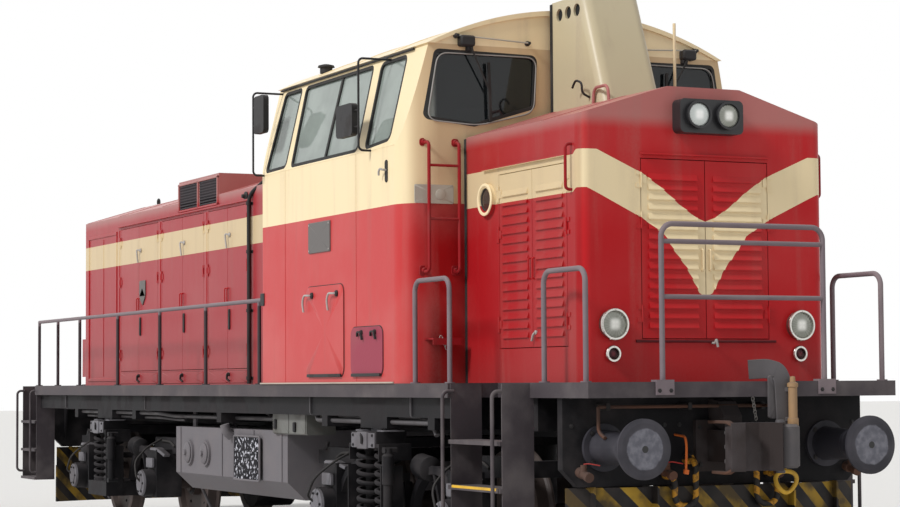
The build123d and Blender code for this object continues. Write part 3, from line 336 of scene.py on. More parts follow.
def window_glass():
    """Dark at the ends, painted shade of the cab's inside seen through; dusty and grey-green in the sides."""
    made = new_material("cab_glass", Roughness=0.05, Specular_IOR_Level=0.2)
    coordinates, (_, y, _) = place(made)
    side = ramp(made, size_of(made, y), 1.22, 1.27)
    dusty = times(made, side, ramp(made, cloud(made, coordinates, 2.5, 4.0), 0.3, 0.7, (0.75, 1.0)))
    # The near-black colour of the end glass is painted shade.
    feed(made, Base_Color=blend_colours(made, dusty, (0.035, 0.045, 0.050, 1), (0.46, 0.52, 0.48, 1)),
         Transmission_Weight=ramp(made, side, 0.0, 1.0, (0.72, 0.42)))
    return made


dress(window_glass(), "cab_glass")
dress(new_material("lamp_lens", Base_Color=(0.9, 0.9, 0.88, 1), Roughness=0.08), "lamp_lenses")

# What is inside the cab and between the bodies: rubber seals, grey desks, woven seat covers.

dress(dirty_steel("seal_rubber", (0.02, 0.02, 0.02, 1), (0.07, 0.065, 0.06, 1), 0.7), "hood_seals",
      "window_frames")
dress(dirty_steel("desk_paint", (0.12, 0.14, 0.13, 1), (0.18, 0.18, 0.17, 1)), "cab_desks")
dress(dirty_steel("seat_cover", (0.04, 0.045, 0.06, 1), (0.07, 0.07, 0.08, 1), 0.9), "cab_seats")

# The guards under the buffers wear yellow and black slanted stripes, worn and dirty at the bottom.


def hazard_paint():
    made = new_material("hazard_paint", Specular_IOR_Level=0.2)
    coordinates, (_, y, z) = place(made)
    slanted = maths(made, "ADD", y, z)
    stripe = maths(made, "LESS_THAN", maths(made, "FLOORED_MODULO", slanted, 0.24), 0.12)
    colour = blend_colours(made, stripe, (0.012, 0.011, 0.012, 1), (0.36, 0.22, 0.025, 1))
    grime = times(made, ramp(made, cloud(made, coordinates, 5.0, 7.0), 0.35, 0.60), 0.85)
    feed(made, Base_Color=blend_colours(made, grime, colour, (0.030, 0.025, 0.023, 1)))
    return made


dress(hazard_paint(), "guards")

# The cab's sides: two inspection hatches with bent handles, a blank cast plate, weld beads where the sheets
# meet, a drip gutter under the eave and a strip along the foot where dust lies. Steel, bolted and welded.
# Heights in the tables from here on are over the rail top, which the wheel flanges reach below.

SIDE = 1.49
SMOOTH_BELOW = math.radians(38)


def make_piece(name, grids, material, body="root"):
    """One mesh out of grids of points. In a grid, each point is joined to the next along its row and along
    its column; points that fall together are merged. Its UV runs from 0 to 1 along and across each grid."""
    points, faces, turns, first = [], [], [], 0
    for grid in grids:
        rows, columns = grid.shape[:2]
        index = first + np.arange(rows * columns).reshape(rows, columns)
        quads = np.stack([index[:-1, :-1], index[:-1, 1:], index[1:, 1:], index[1:, :-1]], axis=-1)
        across, along = np.meshgrid(np.linspace(0, 1, columns), np.linspace(0, 1, rows))
        points.append(grid.reshape(-1, 3))
        turns.append(np.stack([across, along], axis=-1).reshape(-1, 2))
        faces.append(quads.reshape(-1, 4))
        first += rows * columns
    points, faces, turns = np.concatenate(points), np.concatenate(faces), np.concatenate(turns)
    mesh = bpy.data.meshes.new(name)
    mesh.vertices.add(len(points))
    mesh.vertices.foreach_set("co", (points + (0, 0, RAIL_TOP)).ravel())
    mesh.loops.add(faces.size)
    mesh.loops.foreach_set("vertex_index", faces.ravel())
    mesh.polygons.add(len(faces))
    mesh.polygons.foreach_set("loop_start", np.arange(0, faces.size, 4))
    mesh.uv_layers.new(name="UVMap").data.foreach_set("uv", turns[faces.ravel()].ravel())
    mesh.update(calc_edges=True)
    merged = bmesh.new()
    merged.from_mesh(mesh)
    bmesh.ops.remove_doubles(merged, verts=merged.verts, dist=5e-6)
    bmesh.ops.recalc_face_normals(merged, faces=merged.faces)
    merged.to_mesh(mesh)
    merged.free()
    mesh.polygons.foreach_set("use_smooth", np.ones(len(mesh.polygons), dtype=bool))
    mesh.set_sharp_from_angle(angle=SMOOTH_BELOW)
    mesh.materials.append(material)
    piece = bpy.data.objects.new(name, mesh)
    scene.collection.objects.link(piece)
    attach(piece, body)
    return piece


def unit(vector):
    return vector / np.linalg.norm(vector)


def rounded_path(points, bend):
    """The line of points with each corner replaced by a curve that starts and ends `bend` from the corner."""
    points = [np.array(point, float) for point in points]
    line = [points[0]]
    share = np.linspace(0, 1, 7)[:, None]
    for before, corner, after in zip(points[:-2], points[1:-1], points[2:]):
        reach = min(bend, 0.49 * np.linalg.norm(before - corner), 0.49 * np.linalg.norm(after - corner))
        start, end = corner + unit(before - corner) * reach, corner + unit(after - corner) * reach
        line.extend((1 - share) ** 2 * start + 2 * share * (1 - share) * corner + share ** 2 * end)
    line.append(points[-1])
    return np.array(line)


def ring(radius, sides=12):
    """A circle's points, the first repeated at the end."""
    turn = np.linspace(0, 2 * math.pi, sides + 1)
    return np.stack([np.cos(turn), np.sin(turn)], axis=-1) * radius


def bar(wide, tall, chamfer=0.002):
    """A rectangle's points with its corners cut off, the first repeated at the end."""
    a, b = wide / 2, tall / 2
    c = min(chamfer, 0.45 * a, 0.45 * b)
    return np.array([(a, b - c), (a - c, b), (-a + c, b), (-a, b - c), (-a, -b + c), (-a + c, -b),
                     (a - c, -b), (a, -b + c), (a, b - c)])


def swept(points, section, bend=0.0, level=(0, 0, 1), loop=False):
    """The section carried along the path. Its second number lies along `level` as nearly as the path lets
    it, its first square to both; at the two ends the section shrinks to a point and closes the form."""
    path = rounded_path(points, bend) if bend else np.array(points, float)
    if loop:
        path = np.concatenate([path, path[:1]])
        around = np.concatenate([path[-2:-1], path, path[1:2]])
        ahead = around[2:] - around[:-2]
    else:
        ahead = np.gradient(path, axis=0)
    ahead = ahead / np.linalg.norm(ahead, axis=1)[:, None]
    upright = np.array(level, float) - ahead * (ahead @ np.array(level, float))[:, None]
    if np.any(np.linalg.norm(upright, axis=1) < 1e-3):
        other = np.array((0.0, 1.0, 0.0) if abs(level[1]) < 0.9 else (1.0, 0.0, 0.0))
        upright = other - ahead * (ahead @ other)[:, None]
    upright = upright / np.linalg.norm(upright, axis=1)[:, None]
    sideways = np.cross(ahead, upright)
    body = (path[:, None] + section[None, :, :1] * sideways[:, None]
            + section[None, :, 1:] * upright[:, None])
    if loop:
        return body
    ends = [np.repeat(path[end][None, None], section.shape[0], axis=1) for end in (0, -1)]
    return np.concatenate([ends[0], body, ends[1]])


def turned(profile, centre, axis, sides=28):
    """A profile of (distance along the axis, radius) turned round the axis from the centre."""
    axis = unit(np.array(axis, float))
    first = unit(np.cross(axis, (0.0, 0.0, 1.0) if abs(axis[2]) < 0.9 else (1.0, 0.0, 0.0)))
    second = np.cross(axis, first)
    turn = np.linspace(0, 2 * math.pi, sides + 1)
    spoke = np.cos(turn)[:, None] * first + np.sin(turn)[:, None] * second
    profile = np.array(profile, float)
    return np.array(centre, float) + profile[:, :1, None] * axis + profile[:, 1:, None] * spoke


def panel(centre, across, up, size, corner=0.03, thick=0.006, edge=0.0015):
    """A plate with rounded corners whose back lies on the centre point: rings of its outline at the back, at
    the front's rim and inside its bevel, drawn in to a point at both faces. Outwards is across x up."""
    across, up = unit(np.array(across, float)), unit(np.array(up, float))
    out = np.cross(across, up)
    half = np.array(size) / 2
    corner = min(corner, half.min() * 0.98)
    turn = np.linspace(0, math.pi / 2, 5)
    outline = []
    for quarter, (sx, sy) in enumerate(((1, 1), (-1, 1), (-1, -1), (1, -1))):
        angle = turn + quarter * math.pi / 2
        outline.append(np.stack([sx * (half[0] - corner) + corner * np.cos(angle),
                                 sy * (half[1] - corner) + corner * np.sin(angle)], axis=-1))
    outline = np.concatenate(outline + [outline[0][:1]])
    inner = outline * (1 - edge / half)
    rows = [(outline * 0, 0), (outline, 0), (outline, thick - edge), (inner, thick), (inner * 0, thick)]
    return np.array([np.array(centre, float) + flat[:, :1] * across + flat[:, 1:] * up + height * out
                     for flat, height in rows])


def hoop(centre, first, second, sides):
    """A closed curve round the centre: the cosine of the turn along first and its sine along second."""
    turn = np.linspace(0, 2 * math.pi, sides + 1)[:-1, None]
    return np.array(centre) + np.cos(turn) * first + np.sin(turn) * second


def mirrored(grids):
    """The grids and their images across the locomotive's long middle plane."""
    return list(grids) + [grid * (1, -1, 1) for grid in grids]


def both_ends(grids):
    """The grids and their images across the middle of the length."""
    return list(grids) + [grid * (-1, 1, 1) for grid in grids]


def on_side(grids, side):
    """The grids, which are drawn on the left, on the left side for -1 or mirrored to the right for 1."""
    return [grid * (1, -side, 1) for grid in grids]


EAST, NORTH, UP = (1, 0, 0), (0, 1, 0), (0, 0, 1)
AWAY = (0, -1, 0)
black_paint = dirty_steel("black_paint", (0.016, 0.015, 0.016, 1), (0.06, 0.052, 0.05, 1), 0.5)
body_paint = cab_paint()
dull_paint = dirty_steel("dull_red_paint", (0.30, 0.045, 0.075, 1), (0.34, 0.12, 0.13, 1), 0.6)
worn_steel = dirty_steel("worn_steel", (0.42, 0.40, 0.38, 1), (0.26, 0.23, 0.21, 1), 0.4)
plate_paint = dirty_steel("plate_paint", (0.13, 0.12, 0.115, 1), (0.22, 0.20, 0.18, 1), 0.5)
settled_dust = dirty_steel("settled_dust", (0.50, 0.43, 0.36, 1), (0.34, 0.29, 0.25, 1), 0.9)

hatches = ((2.79, 1.935, 0.805, 0.745), (3.66, 1.755, 0.63, 0.385))
for (x, z, wide, tall), paint, name in zip(hatches, (body_paint, dull_paint), ("tall", "low")):
    # Painted shadow: a black plate a little larger than each hatch, under it, draws the shadow in the gap
    # round the hatch.
    hatch_shadow_line = [panel((x, -SIDE, z), EAST, UP, (wide + 0.014, tall + 0.014), 0.075, 0.003)]
    door = [panel((x, -SIDE, z), EAST, UP, (wide, tall), 0.07, 0.009)]
    foot = [panel((x, -SIDE, z - tall / 2 + 0.006), EAST, UP, (wide * 0.9, 0.026), 0.005, 0.022)]
    make_piece(f"cab_hatch_{name}_shadow_lines_and_feet", mirrored(hatch_shadow_line + foot), black_paint)
    make_piece(f"cab_hatches_{name}", mirrored(door), paint)

handles, bosses = [], []
for x, z in ((2.53, 2.235), (3.065, 2.235)):
    handles.append(swept([(x, -SIDE - 0.004, z), (x, -SIDE - 0.042, z), (x - 0.11, -SIDE - 0.042, z + 0.005),
                          (x - 0.145, -SIDE - 0.042, z - 0.055), (x - 0.14, -SIDE - 0.032, z - 0.135)],
                         ring(0.009), 0.05, (0, -1, 0.2)))
    bosses.append(turned([(0, 0), (0, 0.026), (0.012, 0.026), (0.018, 0.018), (0.022, 0)],
                         (x, -SIDE - 0.009, z), AWAY, 18))
for x, z in ((3.555, 1.905), (3.82, 1.905)):
    bosses.append(swept([(x - 0.045, -SIDE - 0.022, z - 0.03), (x - 0.03, -SIDE - 0.028, z + 0.005),
                         (x + 0.03, -SIDE - 0.028, z + 0.004), (x + 0.052, -SIDE - 0.024, z - 0.058)],
                        bar(0.014, 0.018), 0.02, AWAY))
    bosses.append(turned([(0, 0), (0, 0.02), (0.014, 0.018), (0.016, 0)], (x + 0.02, -SIDE - 0.009, z),
                         AWAY, 16))
make_piece("cab_hatch_handles", mirrored(handles), worn_steel)
make_piece("cab_hatch_latches", mirrored(bosses), black_paint)

latch_plate = [panel((4.055, -SIDE, 3.147), EAST, UP, (0.052, 0.176), 0.025, 0.006)]
hook = [swept([(4.058, -SIDE - 0.004, 3.155), (4.056, -SIDE - 0.040, 3.157), (4.028, -SIDE - 0.044, 3.168),
               (3.992, -SIDE - 0.040, 3.150), (3.984, -SIDE - 0.036, 3.118)], ring(0.0085, 10), 0.018,
              (0, -1, 0.2))]
make_piece("cab_latch_plates", mirrored(latch_plate), black_paint)
make_piece("cab_latch_hooks", mirrored(hook), worn_steel)

cast_plate = [panel((2.68, -SIDE, 2.715), EAST, UP, (0.47, 0.255), 0.012, 0.012, 0.003)]
make_piece("cab_blank_plates", mirrored(cast_plate), plate_paint)
screws = [turned([(0, 0.008), (0.004, 0.0075), (0.006, 0)],
                 (2.68 + a * 0.215, -SIDE - 0.0115, 2.715 + b * 0.107), AWAY, 12) for a in (-1, 1)
          for b in (-1, 1)]
make_piece("cab_plate_screws", mirrored(screws), worn_steel)

beads = [swept([(x, -SIDE + 0.0015, 1.52), (x, -SIDE + 0.0015, 3.335)], ring(0.0045, 8))
         for x in (1.889, 3.445)]
beads.append(swept([(1.36, -SIDE + 0.0015, 3.338), (4.2, -SIDE + 0.0015, 3.338)], ring(0.004, 8),
                   level=NORTH))
make_piece("cab_weld_beads", mirrored(beads), body_paint)

ledge = [swept([(1.305, -SIDE - 0.007, 1.507), (4.18, -SIDE - 0.007, 1.507)], bar(0.014, 0.013, 0.005))]
make_piece("cab_foot_strips", mirrored(ledge), settled_dust)
gutter = [swept([(1.37, -1.318, 4.093), (4.20, -1.318, 4.093)], bar(0.02, 0.016, 0.004))]
make_piece("cab_gutters", mirrored(gutter), black_paint)

# Where the walkway's rail meets the cab: a forged socket on a square foot, with one bolt through it.

sockets = [panel((1.345, -SIDE, 2.244), EAST, UP, (0.09, 0.11), 0.012, 0.008),
           swept([(1.30, -1.45, 2.244), (1.35, -1.45, 2.244), (1.35, -1.492, 2.244)],
                 bar(0.05, 0.055, 0.01), 0.02)]
make_piece("rail_sockets", mirrored(sockets), black_paint)

# The cab's two ends: pale blank plates, wiper motors with their link bars, arms and blades, the brackets that
# hold the ladders off the sheet, and the pale bead that locks each window's rubber. Steel, brass and rubber.

FRONT, REAR = 4.44, 1.30
pale_plate = dirty_steel("pale_plate", (0.46, 0.44, 0.38, 1), (0.40, 0.34, 0.27, 1), 0.5)
ladder_paint = dirty_steel("ladder_paint", (0.30, 0.012, 0.016, 1), (0.22, 0.07, 0.065, 1), 0.45, 0.15)
bead_metal = dirty_steel("bead_metal", (0.36, 0.35, 0.33, 1), (0.22, 0.21, 0.20, 1), 0.35)
rubber = dirty_steel("rubber", (0.018, 0.017, 0.017, 1), (0.07, 0.063, 0.06, 1), 0.75)
dress(ladder_paint, "grab_rails")
dress(black_paint, "cab_mirrors")


def end_window(inset):
    """An end window's outline, as (across, height) from its lower inner corner round, shrunk by inset."""
    corners = np.array([(0.345, 4.06), (0.365, 3.60), (0.885, 3.455), (1.35, 3.50), (1.255, 4.06)])
    middle = corners.mean(axis=0)
    corners = corners + (middle - corners) * inset / np.linalg.norm(middle - corners, axis=1)[:, None]
    return [tuple(corner) for corner in corners]


def closed_round(corners, bend, x, side):
    """A loop of (across, height) corners on the plane at x, rounded at every corner."""
    corners = [(x, side * y, z) for y, z in corners]
    middle = tuple((np.array(corners[0]) + corners[-1]) / 2)
    return rounded_path([middle] + corners + [middle], bend)[:-1]


beads, motors, links, blades = [], [], [], []
for wall, out in ((FRONT, 1), (REAR, -1)):
    for side in (-1, 1):
        beads.append(swept(closed_round(end_window(0.034), 0.09, wall + out * 0.003, side), ring(0.0055, 8),
                           level=EAST, loop=True))
    face = (0, out, 0)
    motors.append(panel((wall, -0.995, 4.135), face, UP, (0.125, 0.085), 0.02, 0.07, 0.012))
    motors.append(panel((wall, -0.965, 4.085), face, UP, (0.05, 0.05), 0.012, 0.045, 0.008))
    for y, z in ((-1.075, 4.175), (-0.455, 4.148)):
        motors.append(turned([(0, 0), (0, 0.02), (0.02, 0.02), (0.026, 0.012), (0.05, 0.012), (0.052, 0)],
                             (wall, y, z), (out, 0, 0), 16))
    links.append(swept([(wall + out * 0.042, -1.075, 4.175), (wall + out * 0.042, -0.455, 4.148)],
                       ring(0.006, 10)))
    pivot = (wall + out * 0.06, -0.965, 4.085)
    arm_end = (wall + out * 0.03, -0.79, 3.74)
    blades.append(swept([(wall + out * 0.04, -0.965, 4.085), pivot, (wall + out * 0.055, -0.94, 4.03),
                         arm_end], bar(0.008, 0.014), 0.02, EAST))
    blades.append(swept([(wall + out * 0.022, -0.80, 3.98), (wall + out * 0.022, -0.785, 3.52)],
                        bar(0.01, 0.024)))
    blades.append(swept([(wall + out * 0.008, -0.80, 3.98), (wall + out * 0.008, -0.785, 3.52)],
                        bar(0.006, 0.016)))
make_piece("window_beads", beads, bead_metal)
make_piece("wiper_motors", mirrored(motors), black_paint)
make_piece("wiper_links", mirrored(links), pale_plate)
make_piece("wiper_blades", mirrored(blades), rubber)

plates = [panel((FRONT, -1.265, 2.945), NORTH, UP, (0.33, 0.145), 0.012, 0.005)]
plates.append(turned([(0, 0), (0, 0.042), (0.004, 0.042), (0.006, 0.036), (0.007, 0)],
                     (FRONT + 0.005, -1.21, 2.945), EAST, 24))
make_piece("cab_front_plates", mirrored(plates), pale_plate)

brackets = []
for y in (-1.34, -1.085):
    wall = FRONT if y > -1.2 else FRONT - 0.03
    for z, size in ((3.345, 0.06), (2.36, 0.075)):
        brackets.append(panel((wall - 0.004, y, z), NORTH, UP, (size, size), 0.02, 0.012))
        brackets.append(turned([(0, 0), (0, 0.024), (0.03, 0.018), (0.032, 0)], (wall, y, z), EAST, 18))
make_piece("ladder_feet", mirrored(brackets), ladder_paint)


def chain(start, step, count, half, sides):
    """Oval links from start on, each a step further and turned a quarter; half is a link's half width and
    half height."""
    links = []
    for number in range(count):
        across = (half[0], 0, 0) if number % 2 else (0, half[0], 0)
        link = hoop(np.array(start) + np.array(step) * number, across, (0, 0, half[1]), 16)
        links.append(swept(link, ring(0.0035, sides), level=(0.3, 1, 0.1), loop=True))
    return links


step_chain = chain((FRONT + 0.07, -1.245, 1.845), (0, 0.012, -0.018), 5, (0.011, 0.018), 8)
make_piece("step_chains", mirrored(step_chain), worn_steel)

# Lamps: a bulb in a pressed reflector behind a domed glass with upright flutes, held by a chrome ring with
# three screws; below each big one a small red marker. The two top lamps stand in drums on a black box.


def lamp_glass(name, bright, tint, rough):
    """Glass painted with a reflection of its reflector: rings by UV along, flutes by UV across, a painted
    highlight in the middle, a painted star of glints and painted shade along the flutes.
    """
    made = new_material(name, Roughness=rough, Metallic=0.35)
    turns = node(made, "SeparateXYZ", [(0, node(made, "TexCoord").outputs["UV"])]).outputs
    share = turns[1]
    flutes = maths(made, "SINE", times(made, turns[0], 2 * math.pi * 24))
    star = size_of(made, maths(made, "SINE", times(made, turns[0], 4 * math.pi)))
    # Painted highlight in the middle and a painted star of glints.
    painted_highlight = ramp(made, share, 0.62, 0.93)
    cross = times(made, maths(made, "POWER", star, 3.0), ramp(made, share, 0.15, 0.8, (0.9, 0.25)))
    painted_reflection = maths(made, "ADD", times(made, painted_highlight, 0.75), times(made, cross, 0.45))
    # Painted shade along the flutes.
    ribs = times(made, ramp(made, flutes, -1.0, 1.0, (0.0, 0.25)), ramp(made, share, 0.9, 0.3))
    painted_reflection = maths(made, "SUBTRACT", painted_reflection, ribs)
    colour = blend_colours(made, ramp(made, painted_reflection, 0.0, 1.0), tint, bright)
    bump = node(made, "Bump", [("Height", flutes), ("Strength", 0.35), ("Distance", 0.002)]).outputs[0]
    feed(made, Base_Color=colour, Normal=bump)
    return made


chrome = new_material("chrome", Base_Color=(0.70, 0.68, 0.64, 1), Metallic=1.0, Roughness=0.22)
clear_lens = lamp_glass("clear_lens", (0.95, 0.95, 0.90, 1), (0.30, 0.31, 0.27, 1), 0.12)
# Painted light: this glass, on the left top lamp, is painted much brighter than the others, a painted glow.
painted_glow_lens = lamp_glass("painted_glow_lens", (1.0, 1.0, 0.98, 1), (0.62, 0.66, 0.64, 1), 0.1)
marker_lens = lamp_glass("marker_lens", (0.16, 0.02, 0.03, 1), (0.05, 0.008, 0.012, 1), 0.15)
SHORT_END, LONG_END = 6.31, -5.80
LAMP_Y, LAMP_Z, MARKER_Z = 0.776, 1.903, 1.697


def dome(radius, rise):
    """A glass's profile: flat at its edge, then a shallow arc up to the middle."""
    share = np.linspace(0, 1, 9)
    return [(0, 0), (0, radius)] + [(0.004 + rise * math.sin(s * math.pi / 2),
                                     radius * math.cos(s * math.pi / 2)) for s in share]


big, small, left_top, right_top, rims, lamp_screws = [], [], [], [], [], []
for face, out in ((SHORT_END, 1), (LONG_END, -1)):
    for side in (-1, 1):
        big.append(turned(dome(0.095, 0.018), (face + out * 0.036, side * LAMP_Y, LAMP_Z), (out, 0, 0), 48))
        small.append(turned(dome(0.040, 0.012), (face + out * 0.012, side * LAMP_Y, MARKER_Z), (out, 0, 0),
                            32))
        top = turned(dome(0.084, 0.014), (face + out * 0.128, side * 0.122, 3.390), (out, 0, 0), 48)
        (left_top if side < 0 else right_top).append(top)
        for z, radius, reach in ((LAMP_Z, 0.1, 0.058), (MARKER_Z, 0.047, 0.034)):
            rims.append(turned([(reach - 0.02, radius + 0.008), (reach - 0.006, radius + 0.0125),
                                (reach + 0.004, radius + 0.008), (reach + 0.004, radius - 0.004),
                                (reach - 0.012, radius - 0.008), (reach - 0.02, radius + 0.008)],
                               (face, side * LAMP_Y, z), (out, 0, 0), 40))
            for angle in (math.pi / 2, math.pi * 7 / 6, math.pi * 11 / 6):
                at = (face + out * (reach + 0.002), side * LAMP_Y + math.cos(angle) * (radius + 0.002),
                      z + math.sin(angle) * (radius + 0.002))
                lamp_screws.append(turned([(0, 0.004), (0.003, 0.0035), (0.004, 0)], at, (out, 0, 0), 8))
lenses = [make_piece("headlamp_glasses", big, clear_lens),
          make_piece("marker_glasses", small, marker_lens),
          make_piece("top_lamp_glasses_left", left_top, painted_glow_lens),
          make_piece("top_lamp_glasses_right", right_top, clear_lens)]
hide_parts("lamp_lenses")
make_piece("lamp_rims", rims, chrome)
make_piece("lamp_screws", lamp_screws, worn_steel)


def lamp_case():
    """Black round the top lamps, worn chrome round the low ones, told apart by height."""
    made = new_material("lamp_case", Roughness=0.4)
    high = maths(made, "GREATER_THAN", place(made)[1][2], 3.2)
    feed(made, Base_Color=blend_colours(made, high, (0.30, 0.285, 0.25, 1), (0.02, 0.02, 0.022, 1)),
         Metallic=maths(made, "SUBTRACT", 1.0, high))
    return made


dress(lamp_case(), "lamp_housings")

# Below the front doors: a folded drip bar, worn to dull red, with a bent steel latch at its middle.

sill_paint = dirty_steel("sill_paint", (0.10, 0.010, 0.014, 1), (0.16, 0.05, 0.05, 1), 0.6, 0.15)
sill = [swept([(6.316, -0.58, 1.786), (6.316, 0.58, 1.786)], bar(0.016, 0.018, 0.003))]
make_piece("front_door_sills", sill, sill_paint)
latch = [swept([(6.312, 0.045, 1.775), (6.350, 0.045, 1.772), (6.362, 0.050, 1.800), (6.362, 0.062, 1.745)],
               ring(0.009, 10), 0.01)]
make_piece("front_door_sill_latches", latch, worn_steel)

# Portholes: thick brown-tinted glass in a cream-painted ring, with a rubber lip.

porthole_glass = new_material("porthole_glass", Base_Color=(0.055, 0.035, 0.028, 1), Roughness=0.08)
PORT_X, PORT_Z = 4.875, 2.875
rounds = [turned(dome(0.087, 0.006), (PORT_X, -1.024, PORT_Z), AWAY, 40)]
lips = [turned([(0, 0.088), (0.010, 0.0885), (0.012, 0.082), (0.004, 0.078), (0, 0.088)],
               (PORT_X, -1.026, PORT_Z), AWAY, 40)]
make_piece("porthole_glasses", mirrored(rounds), porthole_glass)
make_piece("porthole_lips", mirrored(lips), rubber)
rings = [turned([(0, 0.098), (0, 0.124), (0.007, 0.121), (0.009, 0.111), (0.007, 0.101), (0, 0.098)],
                (PORT_X, -1.046, PORT_Z), AWAY, 40)]
make_piece("porthole_rings", mirrored(rings), cream_paint("ring_paint", CREAM, 0.4))

# The long hood's sides: two grille panels in the intake box, bent handles and recessed grips on the doors, a
# row of low flaps with latches below them, a framed panel in the far bay and a blank shield, all steel and
# painted with the hood, and the black pipe in clamps that climbs the last post to the roof.

HOOD = 1.015
BAYS = (-4.43, -2.98, -1.51, -0.25)
red_paint = hood_paint()
mesh_dark = dirty_steel("mesh_dark", (0.03, 0.026, 0.03, 1), (0.075, 0.055, 0.06, 1), 0.7)
# Painted shade: the hood's red darkened, for the gaps round the low flaps.
red_gap_shade = dirty_steel("red_gap_shade", (0.055, 0.012, 0.014, 1), (0.11, 0.05, 0.05, 1), 0.7)

slats, frames = [], []
for x in (-2.05, -1.435):
    frames.append(panel((x, -HOOD + 0.004, 3.425), EAST, UP, (0.54, 0.27), 0.012, 0.004))
    for number in range(9):
        z = 3.312 + number * 0.0282
        slats.append(swept([(x - 0.265, -HOOD - 0.003, z), (x + 0.265, -HOOD - 0.003, z)],
                           bar(0.004, 0.014, 0.001)))
    for number in range(18):
        across = x - 0.255 + number * 0.03
        slats.append(swept([(across, -HOOD - 0.001, 3.30), (across, -HOOD - 0.001, 3.55)],
                           bar(0.004, 0.006, 0.001)))
make_piece("intake_backs", mirrored(frames), mesh_dark)
make_piece("intake_slats", mirrored(slats), mesh_dark)
borders = [swept([(x0, -HOOD - 0.004, z0), (x1, -HOOD - 0.004, z1)], bar(0.022, 0.022, 0.004), level=AWAY)
           for x0, z0, x1, z1 in ((-1.742, 3.285, -1.742, 3.563), (-2.334, 3.285, -2.334, 3.563),
                                  (-1.151, 3.285, -1.151, 3.563), (-2.345, 3.288, -1.140, 3.288),
                                  (-2.345, 3.560, -1.140, 3.560))]
make_piece("intake_borders", mirrored(borders), red_paint)

for side, name in ((-1, "left"), (1, "right")):
    for bay, (low, high) in enumerate(zip(BAYS[:-1], BAYS[1:]), start=1):
        middle = (low + high) / 2
        body = f"long_hood_door_{name}_{bay}b"
        wall = -HOOD - 0.001
        handle = [turned([(0, 0), (0, 0.021), (0.01, 0.021), (0.02, 0.012), (0.026, 0)],
                         (middle + 0.075, wall, 2.96), AWAY, 18),
                  swept([(middle + 0.075, wall - 0.018, 2.96), (middle + 0.02, wall - 0.034, 2.972),
                         (middle + 0.035, wall - 0.032, 2.90), (middle + 0.045, wall - 0.026, 2.83)],
                        ring(0.0085), 0.03, (0, -1, 0.3))]
        grip = [panel((middle + 0.06, wall, 2.135), EAST, UP, (0.04, 0.20), 0.018, 0.012)]
        make_piece(f"bay_handle_{name}_{bay}", on_side(handle, side), worn_steel, body)
        make_piece(f"bay_grip_{name}_{bay}", on_side(grip, side), black_paint, body)

flaps, flap_shadow_lines, latches = [], [], []
for low, high in zip(BAYS[:-1], BAYS[1:]):
    left, right = low + 0.085, high - 0.085
    for start, end in ((left, (left + right) / 2 - 0.004), ((left + right) / 2 + 0.004, right)):
        # Painted shadow: a dark red plate a little larger than each flap, under it, draws the shadow in the
        # gaps round and between the flaps.
        flap_shadow_lines.append(panel(((start + end) / 2, -HOOD, 1.575), EAST, UP, (end - start + 0.007, 0.125),
                                0.012, 0.0012, 0.0004))
        flaps.append(panel(((start + end) / 2, -HOOD, 1.575), EAST, UP, (end - start, 0.118), 0.010, 0.005))
    x = left + 0.33 * (right - left) + 0.25
    latches.append(swept([(x, -HOOD - 0.012, 1.612), (x, -HOOD - 0.03, 1.60),
                          (x - 0.008, -HOOD - 0.03, 1.555), (x + 0.016, -HOOD - 0.014, 1.535)],
                         bar(0.016, 0.02, 0.004), 0.012, AWAY))
    latches.append(turned([(0, 0), (0, 0.018), (0.014, 0.018), (0.018, 0)], (x, -HOOD - 0.004, 1.60), AWAY,
                          14))
make_piece("flap_shadow_lines", mirrored(flap_shadow_lines), red_gap_shade)
make_piece("low_flaps", mirrored(flaps), red_paint)
make_piece("flap_latches", mirrored(latches), black_paint)

covers = []
for post in BAYS:
    covers.append(swept([(post, -HOOD - 0.002, 1.515), (post, -HOOD - 0.002, 3.225)],
                        bar(0.052, 0.008, 0.003), level=AWAY))
covers.append(swept([(-5.02, -HOOD - 0.002, 1.60), (-5.02, -HOOD - 0.002, 3.16)], bar(0.01, 0.005, 0.001),
                    level=AWAY))
for x0, z0, x1, z1 in ((-5.59, 1.58, -5.59, 3.18), (-4.52, 1.58, -4.52, 3.18), (-5.61, 1.56, -4.50, 1.56),
                       (-5.61, 3.20, -4.50, 3.20)):
    covers.append(swept([(x0, -HOOD - 0.004, z0), (x1, -HOOD - 0.004, z1)], bar(0.034, 0.014, 0.004),
                        level=AWAY))
make_piece("bay_post_covers", mirrored(covers), red_paint)

shield = [panel((-3.56, -HOOD - 0.002, 2.545), EAST, UP, (0.20, 0.17), 0.02, 0.010),
          panel((-3.56, -HOOD - 0.002, 2.455), (1, 0, 1), (-1, 0, 1), (0.138, 0.138), 0.02, 0.010)]
for side, name in ((-1, "left"), (1, "right")):
    make_piece(f"blank_shield_{name}", on_side(shield, side), plate_paint, f"long_hood_door_{name}_1b")

pipe = [swept([(-0.20, -HOOD - 0.032, 1.505), (-0.20, -HOOD - 0.032, 3.30), (0.03, -HOOD + 0.06, 3.435),
               (0.30, -HOOD + 0.12, 3.46)], ring(0.019, 14), 0.09, AWAY)]
clamps = []
for z in (1.56, 2.20, 2.76, 3.22):
    clamps.append(swept([(-0.235, -HOOD - 0.001, z), (-0.165, -HOOD - 0.001, z)], bar(0.028, 0.01, 0.002),
                        level=AWAY))
    clamps.append(turned([(-0.016, 0), (-0.016, 0.026), (0.016, 0.026), (0.016, 0)],
                         (-0.20, -HOOD - 0.032, z), UP, 18))
clamps.append(turned([(0, 0), (0, 0.042), (0.012, 0.046), (0.02, 0.040), (0.022, 0.022), (0.05, 0.018),
                      (0.052, 0)], (-0.34, -HOOD, 3.30), AWAY, 26))
make_piece("climbing_pipes", mirrored(pipe), black_paint)
make_piece("pipe_clamps", mirrored(clamps), black_paint)

